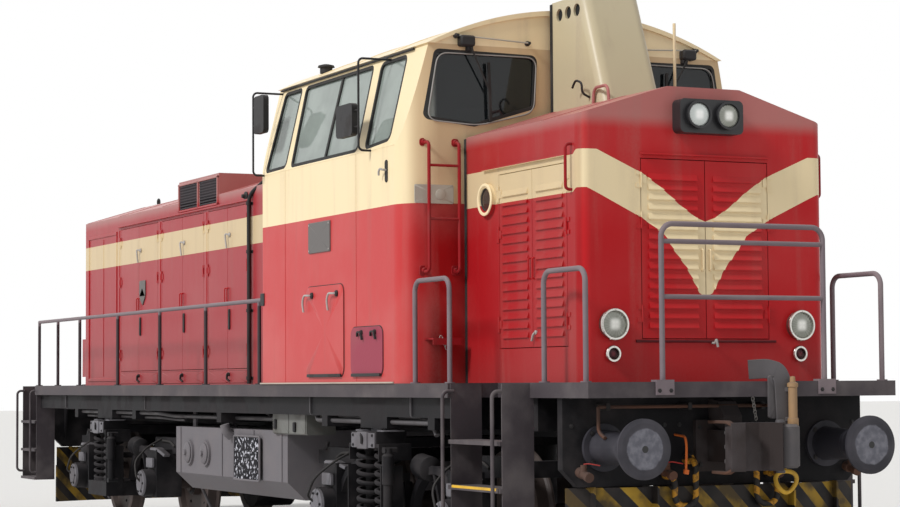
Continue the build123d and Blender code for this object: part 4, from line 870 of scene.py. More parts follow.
# The hoods' roofs: folded seams across them, two lifting eyes at each end of the long one, and two fans under
# round rims and guards that the low view hides. Steel, dusty on every flat.

SHOULDER, RIDGE, FLAT = 3.38, 3.60, 0.30


def roof_line(x, lift, span):
    """The hood's outline over the roof at x, raised by lift and span wide to each side of the middle."""
    slope = (RIDGE - SHOULDER) / (HOOD - FLAT)
    edge = RIDGE - slope * (span - FLAT)
    return [(x, -span, edge + lift), (x, -FLAT, RIDGE + lift), (x, FLAT, RIDGE + lift),
            (x, span, edge + lift)]


roof_seams = [swept(roof_line(x, 0.001, HOOD - 0.015), bar(0.03, 0.007, 0.002), 0.05)
              for x in (-5.70, -4.45, -2.95, -0.62, 0.55, 4.62, 5.72)]
make_piece("roof_seams", roof_seams, red_paint)
eyes = []
for x in (-5.45, 0.95):
    for y in (-0.22, 0.22):
        eyes.append(panel((x, y, 3.598), EAST, NORTH, (0.14, 0.09), 0.015, 0.012))
        eyes.append(swept(hoop((x, y, 3.640), (0.036, 0, 0), (0, 0, 0.036), 24), ring(0.011, 10),
                          level=NORTH, loop=True))
make_piece("lifting_eyes", eyes, black_paint)
fans, fan_bars = [], []
for x in (-4.0, -3.05):
    fans.append(turned([(0, 0.40), (0.05, 0.40), (0.058, 0.392), (0.058, 0.37), (0.05, 0.362), (0, 0.362),
                        (0, 0.40)], (x, 0, 3.55), UP, 56))
    fan_bars.append(turned([(0, 0), (0, 0.365), (0.004, 0.36), (0.004, 0)], (x, 0, 3.598), UP, 40))
    for radius in (0.09, 0.15, 0.21, 0.27, 0.33):
        fan_bars.append(swept(hoop((x, 0, 3.612), (radius, 0, 0), (0, radius, 0), 48), ring(0.005, 6),
                              loop=True))
    for angle in np.arange(8) * math.pi / 4:
        tip = (x + 0.37 * math.cos(angle), 0.37 * math.sin(angle), 3.616)
        fan_bars.append(swept([(x, 0, 3.616), tip], ring(0.006, 6)))
make_piece("fan_rims", fans, red_paint)
make_piece("fan_guards", fan_bars, black_paint)

# The short hood's side doors have a pale lever where each pair meets. The exhaust housing has a bent hook of
# wire, near-black discs deep in its three ports for their soot and painted shade, and a black seal down its
# joint with the cab and over the top.

for side, name in ((-1, "left"), (1, "right")):
    lever = [turned([(0, 0), (0, 0.016), (0.012, 0.016), (0.014, 0)], (5.645, side * (HOOD + 0.001), 1.86),
                    (0, side, 0), 14),
             swept([(5.645, side * (HOOD + 0.016), 1.86), (5.625, side * (HOOD + 0.02), 1.845),
                    (5.603, side * (HOOD + 0.02), 1.80)], bar(0.012, 0.018, 0.004), 0.01, NORTH)]
    make_piece(f"hood_lever_{name}", lever, worn_steel, f"short_hood_door_{name}_2")

mouths = []
for number in range(3):
    x = 4.62 + number * 0.14
    mouths.append(turned([(0, 0), (0, 0.0497), (0.012, 0.0497), (0.012, 0)], (x, -0.23, 4.36), AWAY, 24))
# Soot with painted shade: black discs set inside the ports.
make_piece("exhaust_mouths", mirrored(mouths),
           new_material("soot_and_shade", Base_Color=(0.006, 0.006, 0.006, 1), Roughness=0.95))
hook = [swept([(5.10, -0.262, 3.66), (5.10, -0.33, 3.69), (5.12, -0.34, 3.765), (5.02, -0.34, 3.80),
               (4.96, -0.335, 3.745)], ring(0.009, 10), 0.05, NORTH)]
make_piece("exhaust_hooks", hook, black_paint)
joint = [swept([(4.492, y * 0.262, 3.60), (4.492, y * 0.262, 4.46)], bar(0.03, 0.018, 0.005))
         for y in (-1, 1)]
joint.append(swept([(4.492, -0.26, 4.456), (4.492, 0.26, 4.456)], bar(0.018, 0.016, 0.005)))
make_piece("exhaust_seals", joint, rubber)

# The headstocks: rows of bolts, shunter's hose cocks with red levers, the folded plate of the uncoupling
# lever with a brown spring canister beside it, its cross rod on brackets, and a bent orange rod.

HEAD = 6.42
BUFFER_Y, BUFFER_Z, ROD_Z = 0.915, 1.05, 1.33
rusty = dirty_steel("rusty_iron", (0.10, 0.045, 0.028, 1), (0.07, 0.055, 0.05, 1), 0.75)
brass_brown = dirty_steel("brass_brown", (0.36, 0.22, 0.11, 1), (0.20, 0.14, 0.10, 1), 0.5)
signal_red = dirty_steel("signal_red", (0.50, 0.03, 0.025, 1), (0.26, 0.10, 0.09, 1), 0.5)
signal_yellow = dirty_steel("signal_yellow", (0.78, 0.46, 0.03, 1), (0.24, 0.16, 0.08, 1), 0.5)
orange_rod = dirty_steel("orange_rod", (0.72, 0.16, 0.03, 1), (0.30, 0.14, 0.08, 1), 0.5)
road_grey = dirty_steel("road_grey", (0.085, 0.078, 0.082, 1), (0.16, 0.145, 0.14, 1), 0.6)


def bolt(centre, axis, radius=0.012, rise=0.009):
    """A hexagon head on a washer."""
    return turned([(0, 0), (0, radius * 1.45), (0.0025, radius * 1.45), (0.0025, radius), (rise, radius),
                   (rise + 0.001, radius * 0.8), (rise + 0.001, 0)], centre, axis, 6)


def spun(grids):
    """The grids and their images turned half round the middle, as each end's fittings are."""
    return [grid * way for grid in grids for way in ((1, 1, 1), (-1, -1, 1))]


bolts = [bolt((HEAD, y, z), EAST, 0.013) for y in (0.30, 0.42, 0.60, 1.16) for z in (1.20, 1.40)]
bolts += [bolt((HEAD + 0.028, BUFFER_Y + 0.138 * math.cos(a), BUFFER_Z + 0.138 * math.sin(a)), EAST, 0.014)
          for a in (math.pi / 4 + np.arange(4) * math.pi / 2)]
bolts += [bolt((6.842, 0.66 + dy, 1.44), EAST, 0.011) for dy in (-0.045, 0.045)]
bolts += [bolt((HEAD + 0.04, 0.155, z), EAST, 0.013) for z in (0.92, 1.18)]
make_piece("headstock_bolts", both_ends(mirrored(bolts)), black_paint)

lever_plate = [swept([(6.865, 0.29, 1.13), (6.865, 0.27, 1.50), (6.845, 0.25, 1.565), (6.80, 0.18, 1.588),
                      (6.74, 0.07, 1.580)],
                     bar(0.135, 0.014, 0.003), 0.03, EAST),
               panel((6.832, 0.25, 1.39), NORTH, UP, (0.17, 0.30), 0.02, 0.02)]
canister = [turned([(0, 0), (0, 0.034), (0.01, 0.038), (0.055, 0.038), (0.06, 0.031), (0.27, 0.031),
                    (0.275, 0.038), (0.30, 0.038), (0.31, 0.02), (0.345, 0.018), (0.35, 0)],
                   (6.905, 0.325, 1.185), UP, 24)]
straps = [swept([(6.865, 0.28, z), (6.905, 0.365, z)], bar(0.012, 0.03, 0.003)) for z in (1.235, 1.44)]
rods = [swept(path, ring(0.013, 10), 0.04)
        for path in ([(6.55, -1.02, ROD_Z), (6.55, 0.29, ROD_Z), (6.62, 0.31, ROD_Z)],
                     [(6.55, -1.02, ROD_Z), (6.55, -1.02, 1.16), (6.64, -1.02, 1.12)])]
make_piece("uncoupling_plates", spun(lever_plate + straps), road_grey)
make_piece("uncoupling_canisters", spun(canister), brass_brown)
make_piece("uncoupling_rods", spun(rods), rusty)
hangers = [swept([(HEAD, y, ROD_Z), (6.57, y, ROD_Z)], bar(0.03, 0.05, 0.006)) for y in (-0.95, -0.30, 0.30)]
make_piece("uncoupling_brackets", spun(hangers), black_paint)

bent = [swept([(HEAD, -0.337, 1.13), (6.56, -0.337, 1.12), (6.575, -0.337, 1.05), (6.575, -0.345, 0.88)],
              ring(0.009, 10), 0.03),
        turned([(0, 0), (0, 0.02), (0.03, 0.02), (0.034, 0)], (6.575, -0.345, 0.86), (0, 0.2, 1), 14)]
make_piece("orange_rods", spun(bent), orange_rod)
cocks, levers = [], []
for y in (-1.10, -0.44, 0.44, 1.10):
    cocks.append(turned([(0, 0), (0, 0.036), (0.05, 0.036), (0.055, 0.028), (0.11, 0.026), (0.112, 0.034),
                         (0.15, 0.034), (0.152, 0)], (HEAD, y, 0.885), (1, 0, -0.25), 20))
    cocks.append(turned([(0, 0), (0, 0.024), (0.05, 0.022), (0.052, 0)], (HEAD + 0.06, y, 0.885), UP, 16))
    levers.append(swept([(HEAD + 0.06, y, 0.94), (HEAD + 0.075, y + 0.03, 0.945),
                         (HEAD + 0.09, y + 0.11, 0.93)], bar(0.014, 0.008, 0.002), 0.02))
make_piece("hose_cocks", both_ends(cocks), rusty)
make_piece("cock_levers", both_ends(levers), signal_red)

# Brake hoses: short stiff rubber hoses, each from its cock round to a hook. The outer ones are red, the inner
# ones black with yellow bands, all scuffed. A yellow ring handle hangs on a hook beside the coupler.


def hose_rubber():
    """Black with yellow bands, and red on the outer hoses; the bands step along height and distance aside."""
    made = new_material("hose_rubber", Specular_IOR_Level=0.25, Roughness=0.65)
    coordinates, (_, y, z) = place(made)
    along = maths(made, "ADD", z, times(made, size_of(made, y), 0.6))
    band = maths(made, "LESS_THAN", maths(made, "FLOORED_MODULO", along, 0.11), 0.055)
    banded = blend_colours(made, band, (0.018, 0.017, 0.016, 1), (0.50, 0.24, 0.025, 1))
    outer = maths(made, "GREATER_THAN", size_of(made, y), 0.80)
    colour = blend_colours(made, outer, banded, (0.30, 0.014, 0.012, 1))
    worn = ramp(made, cloud(made, coordinates, 30.0, 4.0), 0.45, 0.62, (0.0, 0.6))
    feed(made, Base_Color=blend_colours(made, worn, colour, (0.03, 0.025, 0.025, 1)))
    return made


dress(hose_rubber(), "brake_hoses")
turn = np.linspace(0, 2 * math.pi, 33)[:-1, None]
yellow_loop = hoop((6.62, 0.45, 0.79), (0, 0.085, 0), (0, 0, 0.075), 32) + np.sin(2 * turn) * (0.02, 0, 0)
loops = [swept(yellow_loop, ring(0.016, 12), level=EAST, loop=True),
         swept([(HEAD, 0.45, 0.90), (6.61, 0.45, 0.90), (6.62, 0.45, 0.868)], ring(0.008, 8), 0.02, NORTH)]
make_piece("yellow_rings", spun(loops), signal_yellow)

# Couplers: a cast head with ribs, the knuckle's pin and its lifter chain, rust brown where the castings rub.

ribs = [swept([(6.80, -0.16, z), (6.93, -0.205, z)], bar(0.02, 0.03, 0.006))
        for z in (BUFFER_Z - 0.10, BUFFER_Z, BUFFER_Z + 0.10)]
pins = [turned([(0, 0), (0, 0.034), (0.018, 0.03), (0.02, 0)], (6.93, 0.20, z), axis, 20)
        for z, axis in ((1.215, UP), (0.885, (0, 0, -1)))]
make_piece("coupler_ribs", spun(ribs + pins), road_grey)
lifter_chain = chain((6.70, 0.13, 1.375), (0, 0.004, -0.022), 7, (0.010, 0.017), 6)
make_piece("lifter_chains", spun(lifter_chain), worn_steel)
coupler_iron = dirty_steel("coupler_iron", (0.030, 0.022, 0.021, 1), (0.10, 0.088, 0.092, 1), 0.6, 0.2)
dress(coupler_iron, "couplers")


def buffer_paint():
    """Dark grey casings. The head's middle is rubbed bright in a disc with a ragged edge, and in its middle a
    hole drawn as painted shade.
    """
    made = new_material("buffer_paint")
    coordinates, (x, y, z) = place(made)
    aside = maths(made, "SUBTRACT", size_of(made, y), BUFFER_Y)
    height = maths(made, "SUBTRACT", z, BUFFER_Z + RAIL_TOP)
    squares = [times(made, part, part) for part in (aside, height)]
    reach = maths(made, "SQRT", maths(made, "ADD", *squares))
    ragged = maths(made, "ADD", reach, times(made, cloud(made, coordinates, 14.0, 5.0), 0.035))
    on_face = maths(made, "GREATER_THAN", size_of(made, x), 6.985)
    rubbed = times(made, on_face, ramp(made, ragged, 0.162, 0.148))
    hole_shade = times(made, on_face, maths(made, "LESS_THAN", reach, 0.024))
    patches = ramp(made, cloud(made, coordinates, 4.0, 6.0), 0.4, 0.68)
    colour = blend_colours(made, patches, (0.016, 0.015, 0.022, 1), (0.040, 0.037, 0.047, 1))
    worn = blend_colours(made, ramp(made, cloud(made, coordinates, 20.0, 5.0), 0.35, 0.7),
                         (0.085, 0.085, 0.108, 1), (0.16, 0.16, 0.19, 1))
    colour = blend_colours(made, rubbed, colour, worn)
    colour = blend_colours(made, hole_shade, colour, (0.01, 0.01, 0.01, 1))
    feed(made, Base_Color=colour, Roughness=ramp(made, rubbed, 0.0, 1.0, (0.7, 0.42)))
    return made


dress(buffer_paint(), "buffers")
# Painted shade: a thin black disc stands for the hole in each buffer head.
hole_shade_discs = [turned([(0, 0), (0, 0.024), (0.0012, 0.024), (0.0015, 0)], (6.9985, BUFFER_Y, BUFFER_Z), EAST, 20)]
make_piece("buffer_centres", both_ends(mirrored(hole_shade_discs)), black_paint)

# The bogies: grey spring yokes with bolted caps and a lifting lug, axle boxes with a round bolted cover
# and a cable, sand pipes bent down to the wheels, brake cylinders with their rods, dampers beside the coils,
# each in cast or welded steel under oil, brake dust and road dirt.

BOGIE, AXLE, AXLE_Z = 3.62, 1.225, 0.50
yoke_grey = dirty_steel("yoke_grey", (0.15, 0.145, 0.16, 1), (0.085, 0.075, 0.075, 1), 0.6)
pipe_grey = dirty_steel("pipe_grey", (0.085, 0.080, 0.085, 1), (0.050, 0.045, 0.045, 1), 0.55)
# Painted shade with oil and dirt: near-black for the fittings under the body.
gear_black_and_shade = dirty_steel("gear_black_and_shade", (0.010, 0.0095, 0.011, 1), (0.052, 0.047, 0.048, 1), 0.55, 0.15)


def four_fold(grids):
    """The grids and their images across both middle planes of a bogie; they are measured from its centre."""
    return mirrored(list(grids) + [grid * (-1, 1, 1) for grid in grids])


yoke, dark, yoke_bolts = [], [], []
yoke.append(panel((0.0, -1.5055, 1.056), EAST, UP, (0.46, 0.118), 0.012, 0.010, 0.003))
yoke.append(panel((0.0, -1.5055, 1.056), EAST, UP, (0.20, 0.135), 0.02, 0.022, 0.004))
yoke.append(swept([(-0.10, -1.38, 1.125), (-0.10, -1.38, 1.150), (0.10, -1.38, 1.150), (0.10, -1.38, 1.125)],
                  bar(0.05, 0.016, 0.003), 0.02, AWAY))
for x in (-0.21, 0.21):
    yoke.append(panel((x, -1.365, 1.1245), EAST, NORTH, (0.12, 0.20), 0.02, 0.012))
    for y in (-1.44, -1.30):
        yoke_bolts.append(bolt((x, y, 1.1365), UP, 0.012))
for x in (-0.19, -0.06, 0.06, 0.19):
    yoke_bolts.append(bolt((x, -1.515, 1.095), AWAY, 0.010, 0.008))
    yoke_bolts.append(bolt((x, -1.515, 1.018), AWAY, 0.010, 0.008))
dark.append(swept([(-0.02, -1.52, 1.10), (0.03, -1.535, 1.075), (0.02, -1.53, 1.03)],
                  bar(0.03, 0.02, 0.004), 0.02, AWAY))
for x in (-0.18, 0.18):
    dark.append(turned([(0, 0), (0, 0.055), (0.03, 0.05), (0.05, 0.035), (0.44, 0.035), (0.46, 0.05),
                        (0.475, 0.05), (0.476, 0)], (x, -1.375, 0.515), UP, 18))
dark.append(turned([(0, 0), (0, 0.033), (0.02, 0.036), (0.22, 0.036), (0.222, 0.048), (0.44, 0.048),
                    (0.46, 0.03), (0.50, 0.028), (0.502, 0)], (0.385, -1.47, 0.50), (0.02, 0, 1), 22))
for z in (0.50, 0.985):
    dark.append(swept([(0.385, -1.40, z), (0.385, -1.505, z)], bar(0.06, 0.045, 0.01)))

boxes, box_bolts = [], []
boxes.append(turned([(0.0, 0.130), (0.022, 0.126), (0.026, 0.118), (0.026, 0.085), (0.036, 0.080),
                     (0.040, 0.060), (0.040, 0)], (AXLE, -1.395, AXLE_Z), AWAY, 36))
for angle in np.arange(6) * math.pi / 3:
    box_bolts.append(bolt((AXLE + 0.098 * math.cos(angle), -1.421, AXLE_Z + 0.098 * math.sin(angle)), AWAY,
                          0.010, 0.010))
boxes.append(panel((AXLE, -1.30, 0.705), EAST, UP, (0.20, 0.10), 0.015, 0.025, 0.004))
boxes.append(swept([(AXLE - 0.19, -1.20, 0.80), (AXLE - 0.06, -1.25, 0.845), (AXLE + 0.12, -1.25, 0.845),
                    (AXLE + 0.21, -1.20, 0.78)], bar(0.09, 0.03, 0.006), 0.05, UP))
cables = [swept([(AXLE + 0.03, -1.43, 0.52), (AXLE + 0.05, -1.475, 0.56), (AXLE - 0.06, -1.46, 0.72),
                 (AXLE - 0.14, -1.30, 0.86), (AXLE - 0.15, -1.14, 0.94)], ring(0.010, 10), 0.08)]
cables.append(swept([(AXLE - 0.30, -1.13, 0.93), (AXLE + 0.12, -1.13, 0.915), (AXLE + 0.24, -1.13, 0.87)],
                    ring(0.012, 10), 0.05))
sand = [swept([(AXLE + 0.62, -1.05, 1.00), (AXLE + 0.60, -1.10, 0.80), (AXLE + 0.60, -1.0, 0.55),
               (AXLE + 0.56, -0.82, 0.20)], ring(0.016, 10), 0.09)]
cylinder = [turned([(0, 0), (0, 0.085), (0.01, 0.095), (0.19, 0.095), (0.20, 0.085), (0.215, 0.03),
                    (0.30, 0.02), (0.302, 0)], (0.44, -1.215, 0.865), (1, 0, -0.12), 28)]
cylinder.append(swept([(0.66, -1.215, 0.84), (0.72, -1.215, 0.81), (0.735, -1.17, 0.55)],
                      bar(0.03, 0.05, 0.006), 0.02, AWAY))
fittings = (("bogie_yoke_caps", mirrored(yoke), yoke_grey, "spring_steel"),
            ("bogie_dampers", mirrored(dark), gear_black_and_shade, "black_frame_paint"),
            ("axle_box_covers", four_fold(boxes), yoke_grey, "black_frame_paint"),
            ("axle_box_bolts", four_fold(box_bolts), gear_black_and_shade, "black_frame_paint"),
            ("yoke_bolts", mirrored(yoke_bolts), gear_black_and_shade, "black_frame_paint"),
            ("axle_cables", four_fold(cables), rubber, "black_rubber"),
            ("sand_pipes", four_fold(sand), pipe_grey, "black_frame_paint"),
            ("brake_cylinders", four_fold(cylinder), gear_black_and_shade, "black_frame_paint"))
for end, way in (("front", 1), ("rear", -1)):
    for name, grids, paint, finish in fittings:
        moved = [grid + (way * BOGIE, 0, 0) for grid in grids]
        make_piece(f"{name}_{end}", moved, paint, f"bogie_{end}")

# Wheels: the hub's end cap and a ring of bolts on the web, in dark steel. They turn with the axle.

hub = [turned([(0, 0.128), (0.004, 0.128), (0.010, 0.115), (0.010, 0.098), (0, 0.096)], (0, -0.866, AXLE_Z),
              AWAY, 32)]
hub += [bolt((0.30 * math.cos(a), -0.796, AXLE_Z + 0.30 * math.sin(a)), AWAY, 0.012)
       for a in np.arange(8) * math.pi / 4]
for number, x in enumerate((BOGIE + AXLE, BOGIE - AXLE, -BOGIE + AXLE, -BOGIE - AXLE), start=1):
    make_piece(f"wheel_hubs_{number}", [grid + (x, 0, 0) for grid in mirrored(hub)], gear_black_and_shade,
               f"wheelset_{number}")

# Under the deck: the fuel tank's round covers, straps and filler, a pale switch cabinet each side with two
# doors, locks and a red lamp, pipes and a cable tray, and slanting deck struts. Steel under road dirt.

tank_paint = dirty_steel("tank_paint", (0.145, 0.135, 0.146, 1), (0.19, 0.172, 0.178, 1), 0.7)
cabinet_paint = dirty_steel("cabinet_paint", (0.14, 0.14, 0.13, 1), (0.085, 0.078, 0.07, 1), 0.5)
dress(tank_paint, "fuel_tank")
cabinet = [swept([(1.225, -1.215, 1.205), (2.02, -1.215, 1.205)], bar(0.27, 0.285, 0.012), level=UP)]
cabinet += [panel((x, -1.349, 1.205), EAST, UP, (0.375, 0.265), 0.01, 0.008) for x in (1.425, 1.815)]
make_piece("switch_cabinets", mirrored(cabinet), cabinet_paint)
locks = [panel((x, -1.357, z), EAST, UP, (0.05, 0.085), 0.012, 0.016)
         for x, z in ((1.315, 1.15), (1.775, 1.13))]
locks += [swept([(x, -1.22, 1.345), (x, -1.22, 1.40)], bar(0.08, 0.012, 0.002)) for x in (1.32, 1.92)]
make_piece("cabinet_locks", mirrored(locks), gear_black_and_shade)
lights = [turned([(0, 0), (0, 0.028), (0.012, 0.026), (0.018, 0.014), (0.02, 0)], (1.275, -1.357, 1.295),
                 AWAY, 20)]
make_piece("cabinet_lights", mirrored(lights), signal_red)

struts = [swept([(x, -1.33, 1.385), (x + 0.34, -1.02, 1.10)], ring(0.013, 8)) for x in (-0.93, 0.42)]
struts += [swept([(x, -1.42, 1.39), (x, -1.42, 1.25), (x + 0.02, -1.34, 1.24)], bar(0.012, 0.03, 0.002),
                 0.02, AWAY) for x in (-5.1, -2.2, 2.3, 4.35)]
make_piece("deck_struts", mirrored(struts), pipe_grey)
long_pipes = [swept([(-4.9, -1.36, 1.215), (-1.9, -1.36, 1.215), (-1.75, -1.26, 1.19), (1.05, -1.26, 1.19),
                     (1.15, -1.30, 1.36), (2.2, -1.30, 1.36), (2.3, -1.37, 1.20), (4.62, -1.37, 1.20),
                     (4.70, -1.37, 1.11)], ring(0.021, 12), 0.07),
              swept([(-4.6, -1.31, 1.17), (-2.0, -1.31, 1.17), (-1.85, -1.20, 1.15), (-1.6, -1.20, 1.15)],
                    ring(0.014, 10), 0.06),
              swept([(2.35, -1.31, 1.235), (4.3, -1.31, 1.235), (4.5, -1.22, 1.19)], ring(0.012, 10), 0.06)]
make_piece("train_pipes", mirrored(long_pipes), pipe_grey)
tray = [swept([(-4.9, -1.385, 1.30), (0.9, -1.385, 1.30)], bar(0.05, 0.045, 0.006)),
        swept([(2.25, -1.395, 1.31), (4.55, -1.395, 1.31)], bar(0.04, 0.04, 0.006))]
make_piece("cable_trays", mirrored(tray), gear_black_and_shade)
tank_parts = [turned([(0, 0), (0, 0.095), (0.012, 0.098), (0.02, 0.088), (0.026, 0.03), (0.045, 0.028),
                      (0.047, 0)], (x, -1.344, 0.845), AWAY, 28) for x in (-1.106, -0.621)]
tank_parts += [swept([(x, -1.325, 0.64), (x, -1.325, 1.085)], bar(0.05, 0.008, 0.002), level=AWAY)
               for x in (-1.40, -0.20, 0.65, 1.35)]
tank_parts += [swept([(0.10, -1.33, 1.02), (0.10, -1.38, 1.06), (0.10, -1.40, 1.13)], ring(0.045, 18), 0.03)]
make_piece("tank_fittings", mirrored(tank_parts), tank_paint)

# Under the headstocks: skirt plates in yellow and black stripes, bent to the guards' outline and held by the
# same hangers; a rounded lobe and a face plate on each coupler; and yellow nosings on the near steps' treads.

skirt_plan = [(6.36, -1.18), (6.47, -0.70), (6.53, 0.0), (6.47, 0.70), (6.36, 1.18)]
skirts = [swept([(x, y, 0.667) for x, y in skirt_plan], bar(0.008, 0.214, 0.002), 0.05)]
make_piece("striped_skirts", both_ends(skirts), hazard_paint())
lobes = [turned([(0, 0), (0.004, 0.066), (0.02, 0.086), (0.29, 0.086), (0.306, 0.066), (0.31, 0)],
                (6.905, 0.275, 0.895), UP, 26),
         swept([(6.80, 0.12, 1.05), (6.86, 0.22, 1.05)], bar(0.10, 0.26, 0.02))]
faces = [panel((6.988, -0.178, 1.05), NORTH, UP, (0.10, 0.30), 0.012, 0.009, 0.004),
         *(swept(path, bar(0.05, 0.022, 0.006), 0.02)
           for path in ([(6.70, -0.215, 1.222), (6.94, -0.225, 1.222), (6.985, -0.20, 1.190)],
                        [(6.72, -0.20, 0.875), (6.93, -0.222, 0.875), (6.985, -0.20, 0.905)]))]
make_piece("coupler_lobes", spun(lobes), road_grey)
make_piece("coupler_faces", spun(faces), rusty)
nosings = [swept([(5.20, -1.484, z), (5.92, -1.484, z)], bar(0.016, 0.022, 0.004)) for z in (0.423, 0.753)]
make_piece("step_nosings", mirrored(nosings), signal_yellow)

# Inside the cab: crowned seat cushions and backs in woven cloth over foam, with piped seams, each on a
# pressed pan and a post; instruments in raised bezels, a control lever and a wheel on each desk.


def crowned(centre, half, ease, crown, way=2):
    """A closed cushion: a rounded box whose faces swell by `crown` in their middle along axis `way` and whose
    sides pull in between its corners. ease is the power of the rounding; nearer 0 is squarer."""
    turn = np.linspace(-math.pi, math.pi, 65)
    rise = np.linspace(-math.pi / 2, math.pi / 2, 33)
    turn, rise = np.meshgrid(turn, rise)

    def eased(value):
        return np.sign(value) * np.abs(value) ** ease

    a = eased(np.cos(rise)) * eased(np.cos(turn))
    b = eased(np.cos(rise)) * eased(np.sin(turn))
    c = eased(np.sin(rise))
    a_in = a * (1 - 0.035 * (1 - b ** 2))
    b_in = b * (1 - 0.035 * (1 - a ** 2))
    c = c * (1 + crown * (1 - a ** 2) * (1 - b ** 2))
    order = {2: (a_in, b_in, c), 0: (c, a_in, b_in)}[way]
    return np.array(centre) + np.stack([part * size for part, size in zip(order, half)], axis=-1)


def seat_cloth():
    """A tight dark blue-grey weave, over and under in both directions, a little paler where it is sat on."""
    made = new_material("seat_cloth", Roughness=0.92, Specular_IOR_Level=0.2, Sheen_Weight=0.25)
    coordinates, (x, y, z) = place(made)
    warp = maths(made, "SINE", times(made, maths(made, "ADD", x, z), 900.0))
    weft = maths(made, "SINE", times(made, maths(made, "ADD", y, z), 900.0))
    weave = times(made, warp, weft)
    worn = ramp(made, cloud(made, coordinates, 5.0, 4.0), 0.4, 0.7)
    colour = blend_colours(made, ramp(made, weave, -0.5, 0.5), (0.022, 0.026, 0.038, 1),
                           (0.055, 0.062, 0.080, 1))
    colour = blend_colours(made, times(made, worn, 0.35), colour, (0.12, 0.12, 0.12, 1))
    bump = node(made, "Bump", [("Height", weave), ("Strength", 0.35), ("Distance", 0.002)]).outputs[0]
    feed(made, Base_Color=colour, Normal=bump)
    return made


cloth = seat_cloth()
piping = dirty_steel("seat_piping", (0.012, 0.012, 0.014, 1), (0.05, 0.05, 0.05, 1), 0.7)
frames, welts = [], []
for name, x, y in (("rear", 2.35, -0.70), ("front", 3.35, 0.70)):
    cushion = make_piece(f"seat_cushion_{name}",
                         [crowned((x + 0.01, y, 2.018), (0.225, 0.225, 0.055), 0.42, 0.22)], cloth)
    back = make_piece(f"seat_back_{name}",
                      [crowned((x - 0.178, y, 2.345), (0.05, 0.225, 0.275), 0.42, 0.25, 0)], cloth)
    for z in (1.990, 2.046):
        corners = [(x + 0.01 + a * 0.212, y + b * 0.212, z) for a, b in ((-1, -1), (1, -1), (1, 1), (-1, 1))]
        middle = tuple((np.array(corners[0]) + corners[-1]) / 2)
        welts.append(swept(rounded_path([middle] + corners + [middle], 0.07)[:-1], ring(0.006, 8),
                           loop=True))
    frames.append(panel((x + 0.01, y, 1.952), EAST, NORTH, (0.42, 0.42), 0.06, 0.014))
    frames.append(turned([(0, 0), (0, 0.17), (0.012, 0.17), (0.02, 0.155), (0.03, 0.062), (0.20, 0.06),
                          (0.21, 0.048), (0.425, 0.046), (0.44, 0.13), (0.452, 0.13), (0.455, 0)],
                         (x, y, 1.50), UP, 36))
    frames.append(swept([(x - 0.10, y, 1.96), (x - 0.232, y, 1.975), (x - 0.238, y, 2.10),
                         (x - 0.236, y, 2.52)], bar(0.20, 0.012, 0.003), 0.05, EAST))
frame_steel = make_piece("seat_frames", frames, black_paint)
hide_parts("cab_seats")
make_piece("seat_welts", welts, piping)

bezels, dials, controls = [], [], []
for wall, way in ((1.363, 1), (4.377, -1)):
    top = wall + way * 0.31
    for number in range(5):
        y = -0.44 + number * 0.22
        at = (wall + way * 0.11, y, 2.405)
        bezels.append(turned([(0, 0), (0, 0.062), (0.012, 0.06), (0.014, 0.05), (0.008, 0.046), (0.008, 0)],
                             at, UP, 26))
        dials.append(turned([(0.0085, 0), (0.0085, 0.044), (0.010, 0.044), (0.0105, 0)], at, UP, 26))
    controls.append(turned([(0, 0), (0, 0.055), (0.02, 0.05), (0.024, 0.018), (0.14, 0.014), (0.15, 0.028),
                            (0.18, 0.03), (0.192, 0)], (top, 0.52 * way, 2.37), (way * 0.2, 0, 1), 22))
    aside = -0.40 * way
    wheel = hoop((top, aside, 2.47), (0.13, 0, 0), (0, 0.13, 0), 48)
    controls.append(swept(wheel, ring(0.012, 12), loop=True))
    controls.append(turned([(0, 0), (0, 0.03), (0.09, 0.022), (0.11, 0.035), (0.12, 0)], (top, aside, 2.36),
                           UP, 20))
    for angle in (0.5, 2.6, 4.7):
        tip = (top + 0.13 * math.cos(angle), aside + 0.13 * math.sin(angle), 2.47)
        controls.append(swept([(top, aside, 2.465), tip], ring(0.008, 8)))
make_piece("desk_bezels", bezels, black_paint)
make_piece("desk_dials", dials, pale_plate)
make_piece("desk_controls", controls, piping)

# On the cab's roof: three folded seams, a small vent near each rear corner and a twin horn behind the exhaust
# housing; a thin mast stands on the short hood. Pressed steel sprayed cream, the horn and vents black.


def roof_height(y):
    """The height of the cab's roof over the rail at y: an arc through its crown and its two eaves."""
    half, rise = 1.32, 0.32
    radius = (half ** 2 + rise ** 2) / (2 * rise)
    return 4.43 - radius + np.sqrt(radius ** 2 - np.square(y))


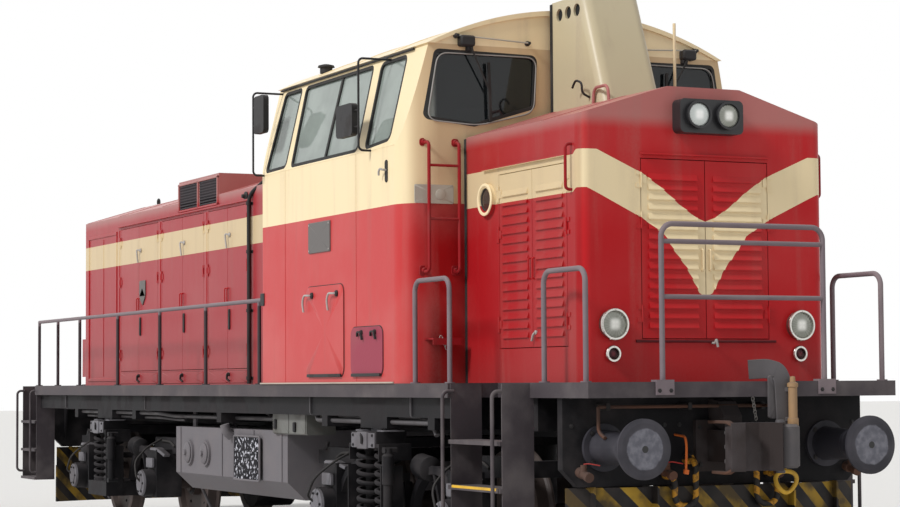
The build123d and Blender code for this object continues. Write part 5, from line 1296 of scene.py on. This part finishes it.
cream = cream_paint("roof_cream", CREAM, 0.6)
over = np.linspace(-1.27, 1.27, 25)
seams = [swept(np.stack([over * 0 + x, over, roof_height(over) + 0.001], axis=-1), bar(0.028, 0.010, 0.003))
         for x in (2.15, 2.95, 3.75)]
make_piece("cab_roof_seams", seams, cream)
vents, horns = [], []
for y in (-1.10, 1.10):
    vents.append(turned([(0, 0), (0, 0.055), (0.05, 0.055), (0.052, 0.075), (0.068, 0.068), (0.078, 0.03),
                         (0.08, 0)], (1.88, y, roof_height(y) - 0.01), UP, 24))
for y, long in ((0.56, 0.26), (0.70, 0.20)):
    horns.append(turned([(0, 0), (0, 0.018), (0.05, 0.016), (long * 0.7, 0.022), (long, 0.044),
                         (long, 0.040), (long * 0.72, 0.016), (0.06, 0)], (1.62, y, roof_height(y) + 0.043),
                        (-1, 0, 0), 24))
    horns.append(swept([(1.60, y, roof_height(y) - 0.005), (1.60, y, roof_height(y) + 0.04)],
                       bar(0.05, 0.024, 0.004), level=EAST))
make_piece("roof_vents", vents, black_paint)
make_piece("roof_horns", horns, black_paint)
mast = [swept([(5.0, 0.55, 3.51), (5.0, 0.55, 4.29)], ring(0.012, 12), level=EAST)]
mast.append(turned([(0, 0), (0, 0.04), (0.012, 0.04), (0.016, 0.02), (0.05, 0.016), (0.052, 0)],
                   (5.0, 0.55, 3.515), UP, 20))
make_piece("hood_masts", mast, cream)

# On the tank a near-black plate for wire mesh over a recess, the recess's dark as painted shade, with dried
# splashes, and on the far end of the long hood a visor of folded red sheet over each pair of lamps.


def splashed_mesh():
    """Black mesh with the painted shade of the recess behind it, and pale dried spots."""
    made = dirty_steel("splashed_mesh", (0.008, 0.008, 0.010, 1), (0.02, 0.02, 0.024, 1), 0.6, 0.1)
    spots = ramp(made, cloud(made, place(made)[0], 26.0, 3.0), 0.54, 0.60)
    feed(made, Base_Color=blend_colours(made, spots, (0.010, 0.010, 0.013, 1), (0.50, 0.50, 0.55, 1)))
    return made


recess_shade_plate = [panel((0.555, -1.3405, 0.83), EAST, UP, (0.66, 0.40), 0.03, 0.010, 0.004)]
make_piece("tank_mesh_panels", mirrored(recess_shade_plate), splashed_mesh())
rims = [swept(rounded_path([(0.555, -1.352, 0.63), (0.89, -1.352, 0.63), (0.89, -1.352, 1.03),
                            (0.22, -1.352, 1.03), (0.22, -1.352, 0.63), (0.555, -1.352, 0.63)], 0.03)[:-1],
              ring(0.010, 10), level=AWAY, loop=True)]
make_piece("tank_mesh_rims", mirrored(rims), tank_paint)

visor = [swept([(-5.955, y, 1.60), (-5.955, y, 2.04)], bar(0.004, 0.17, 0.001), level=EAST)
         for y in (-0.96, -0.60)]
visor += [swept([(-5.955, -0.96, 2.04), (-5.955, -0.60, 2.04)], bar(0.17, 0.004, 0.001))]
make_piece("rear_lamp_visors", mirrored(visor), red_paint)
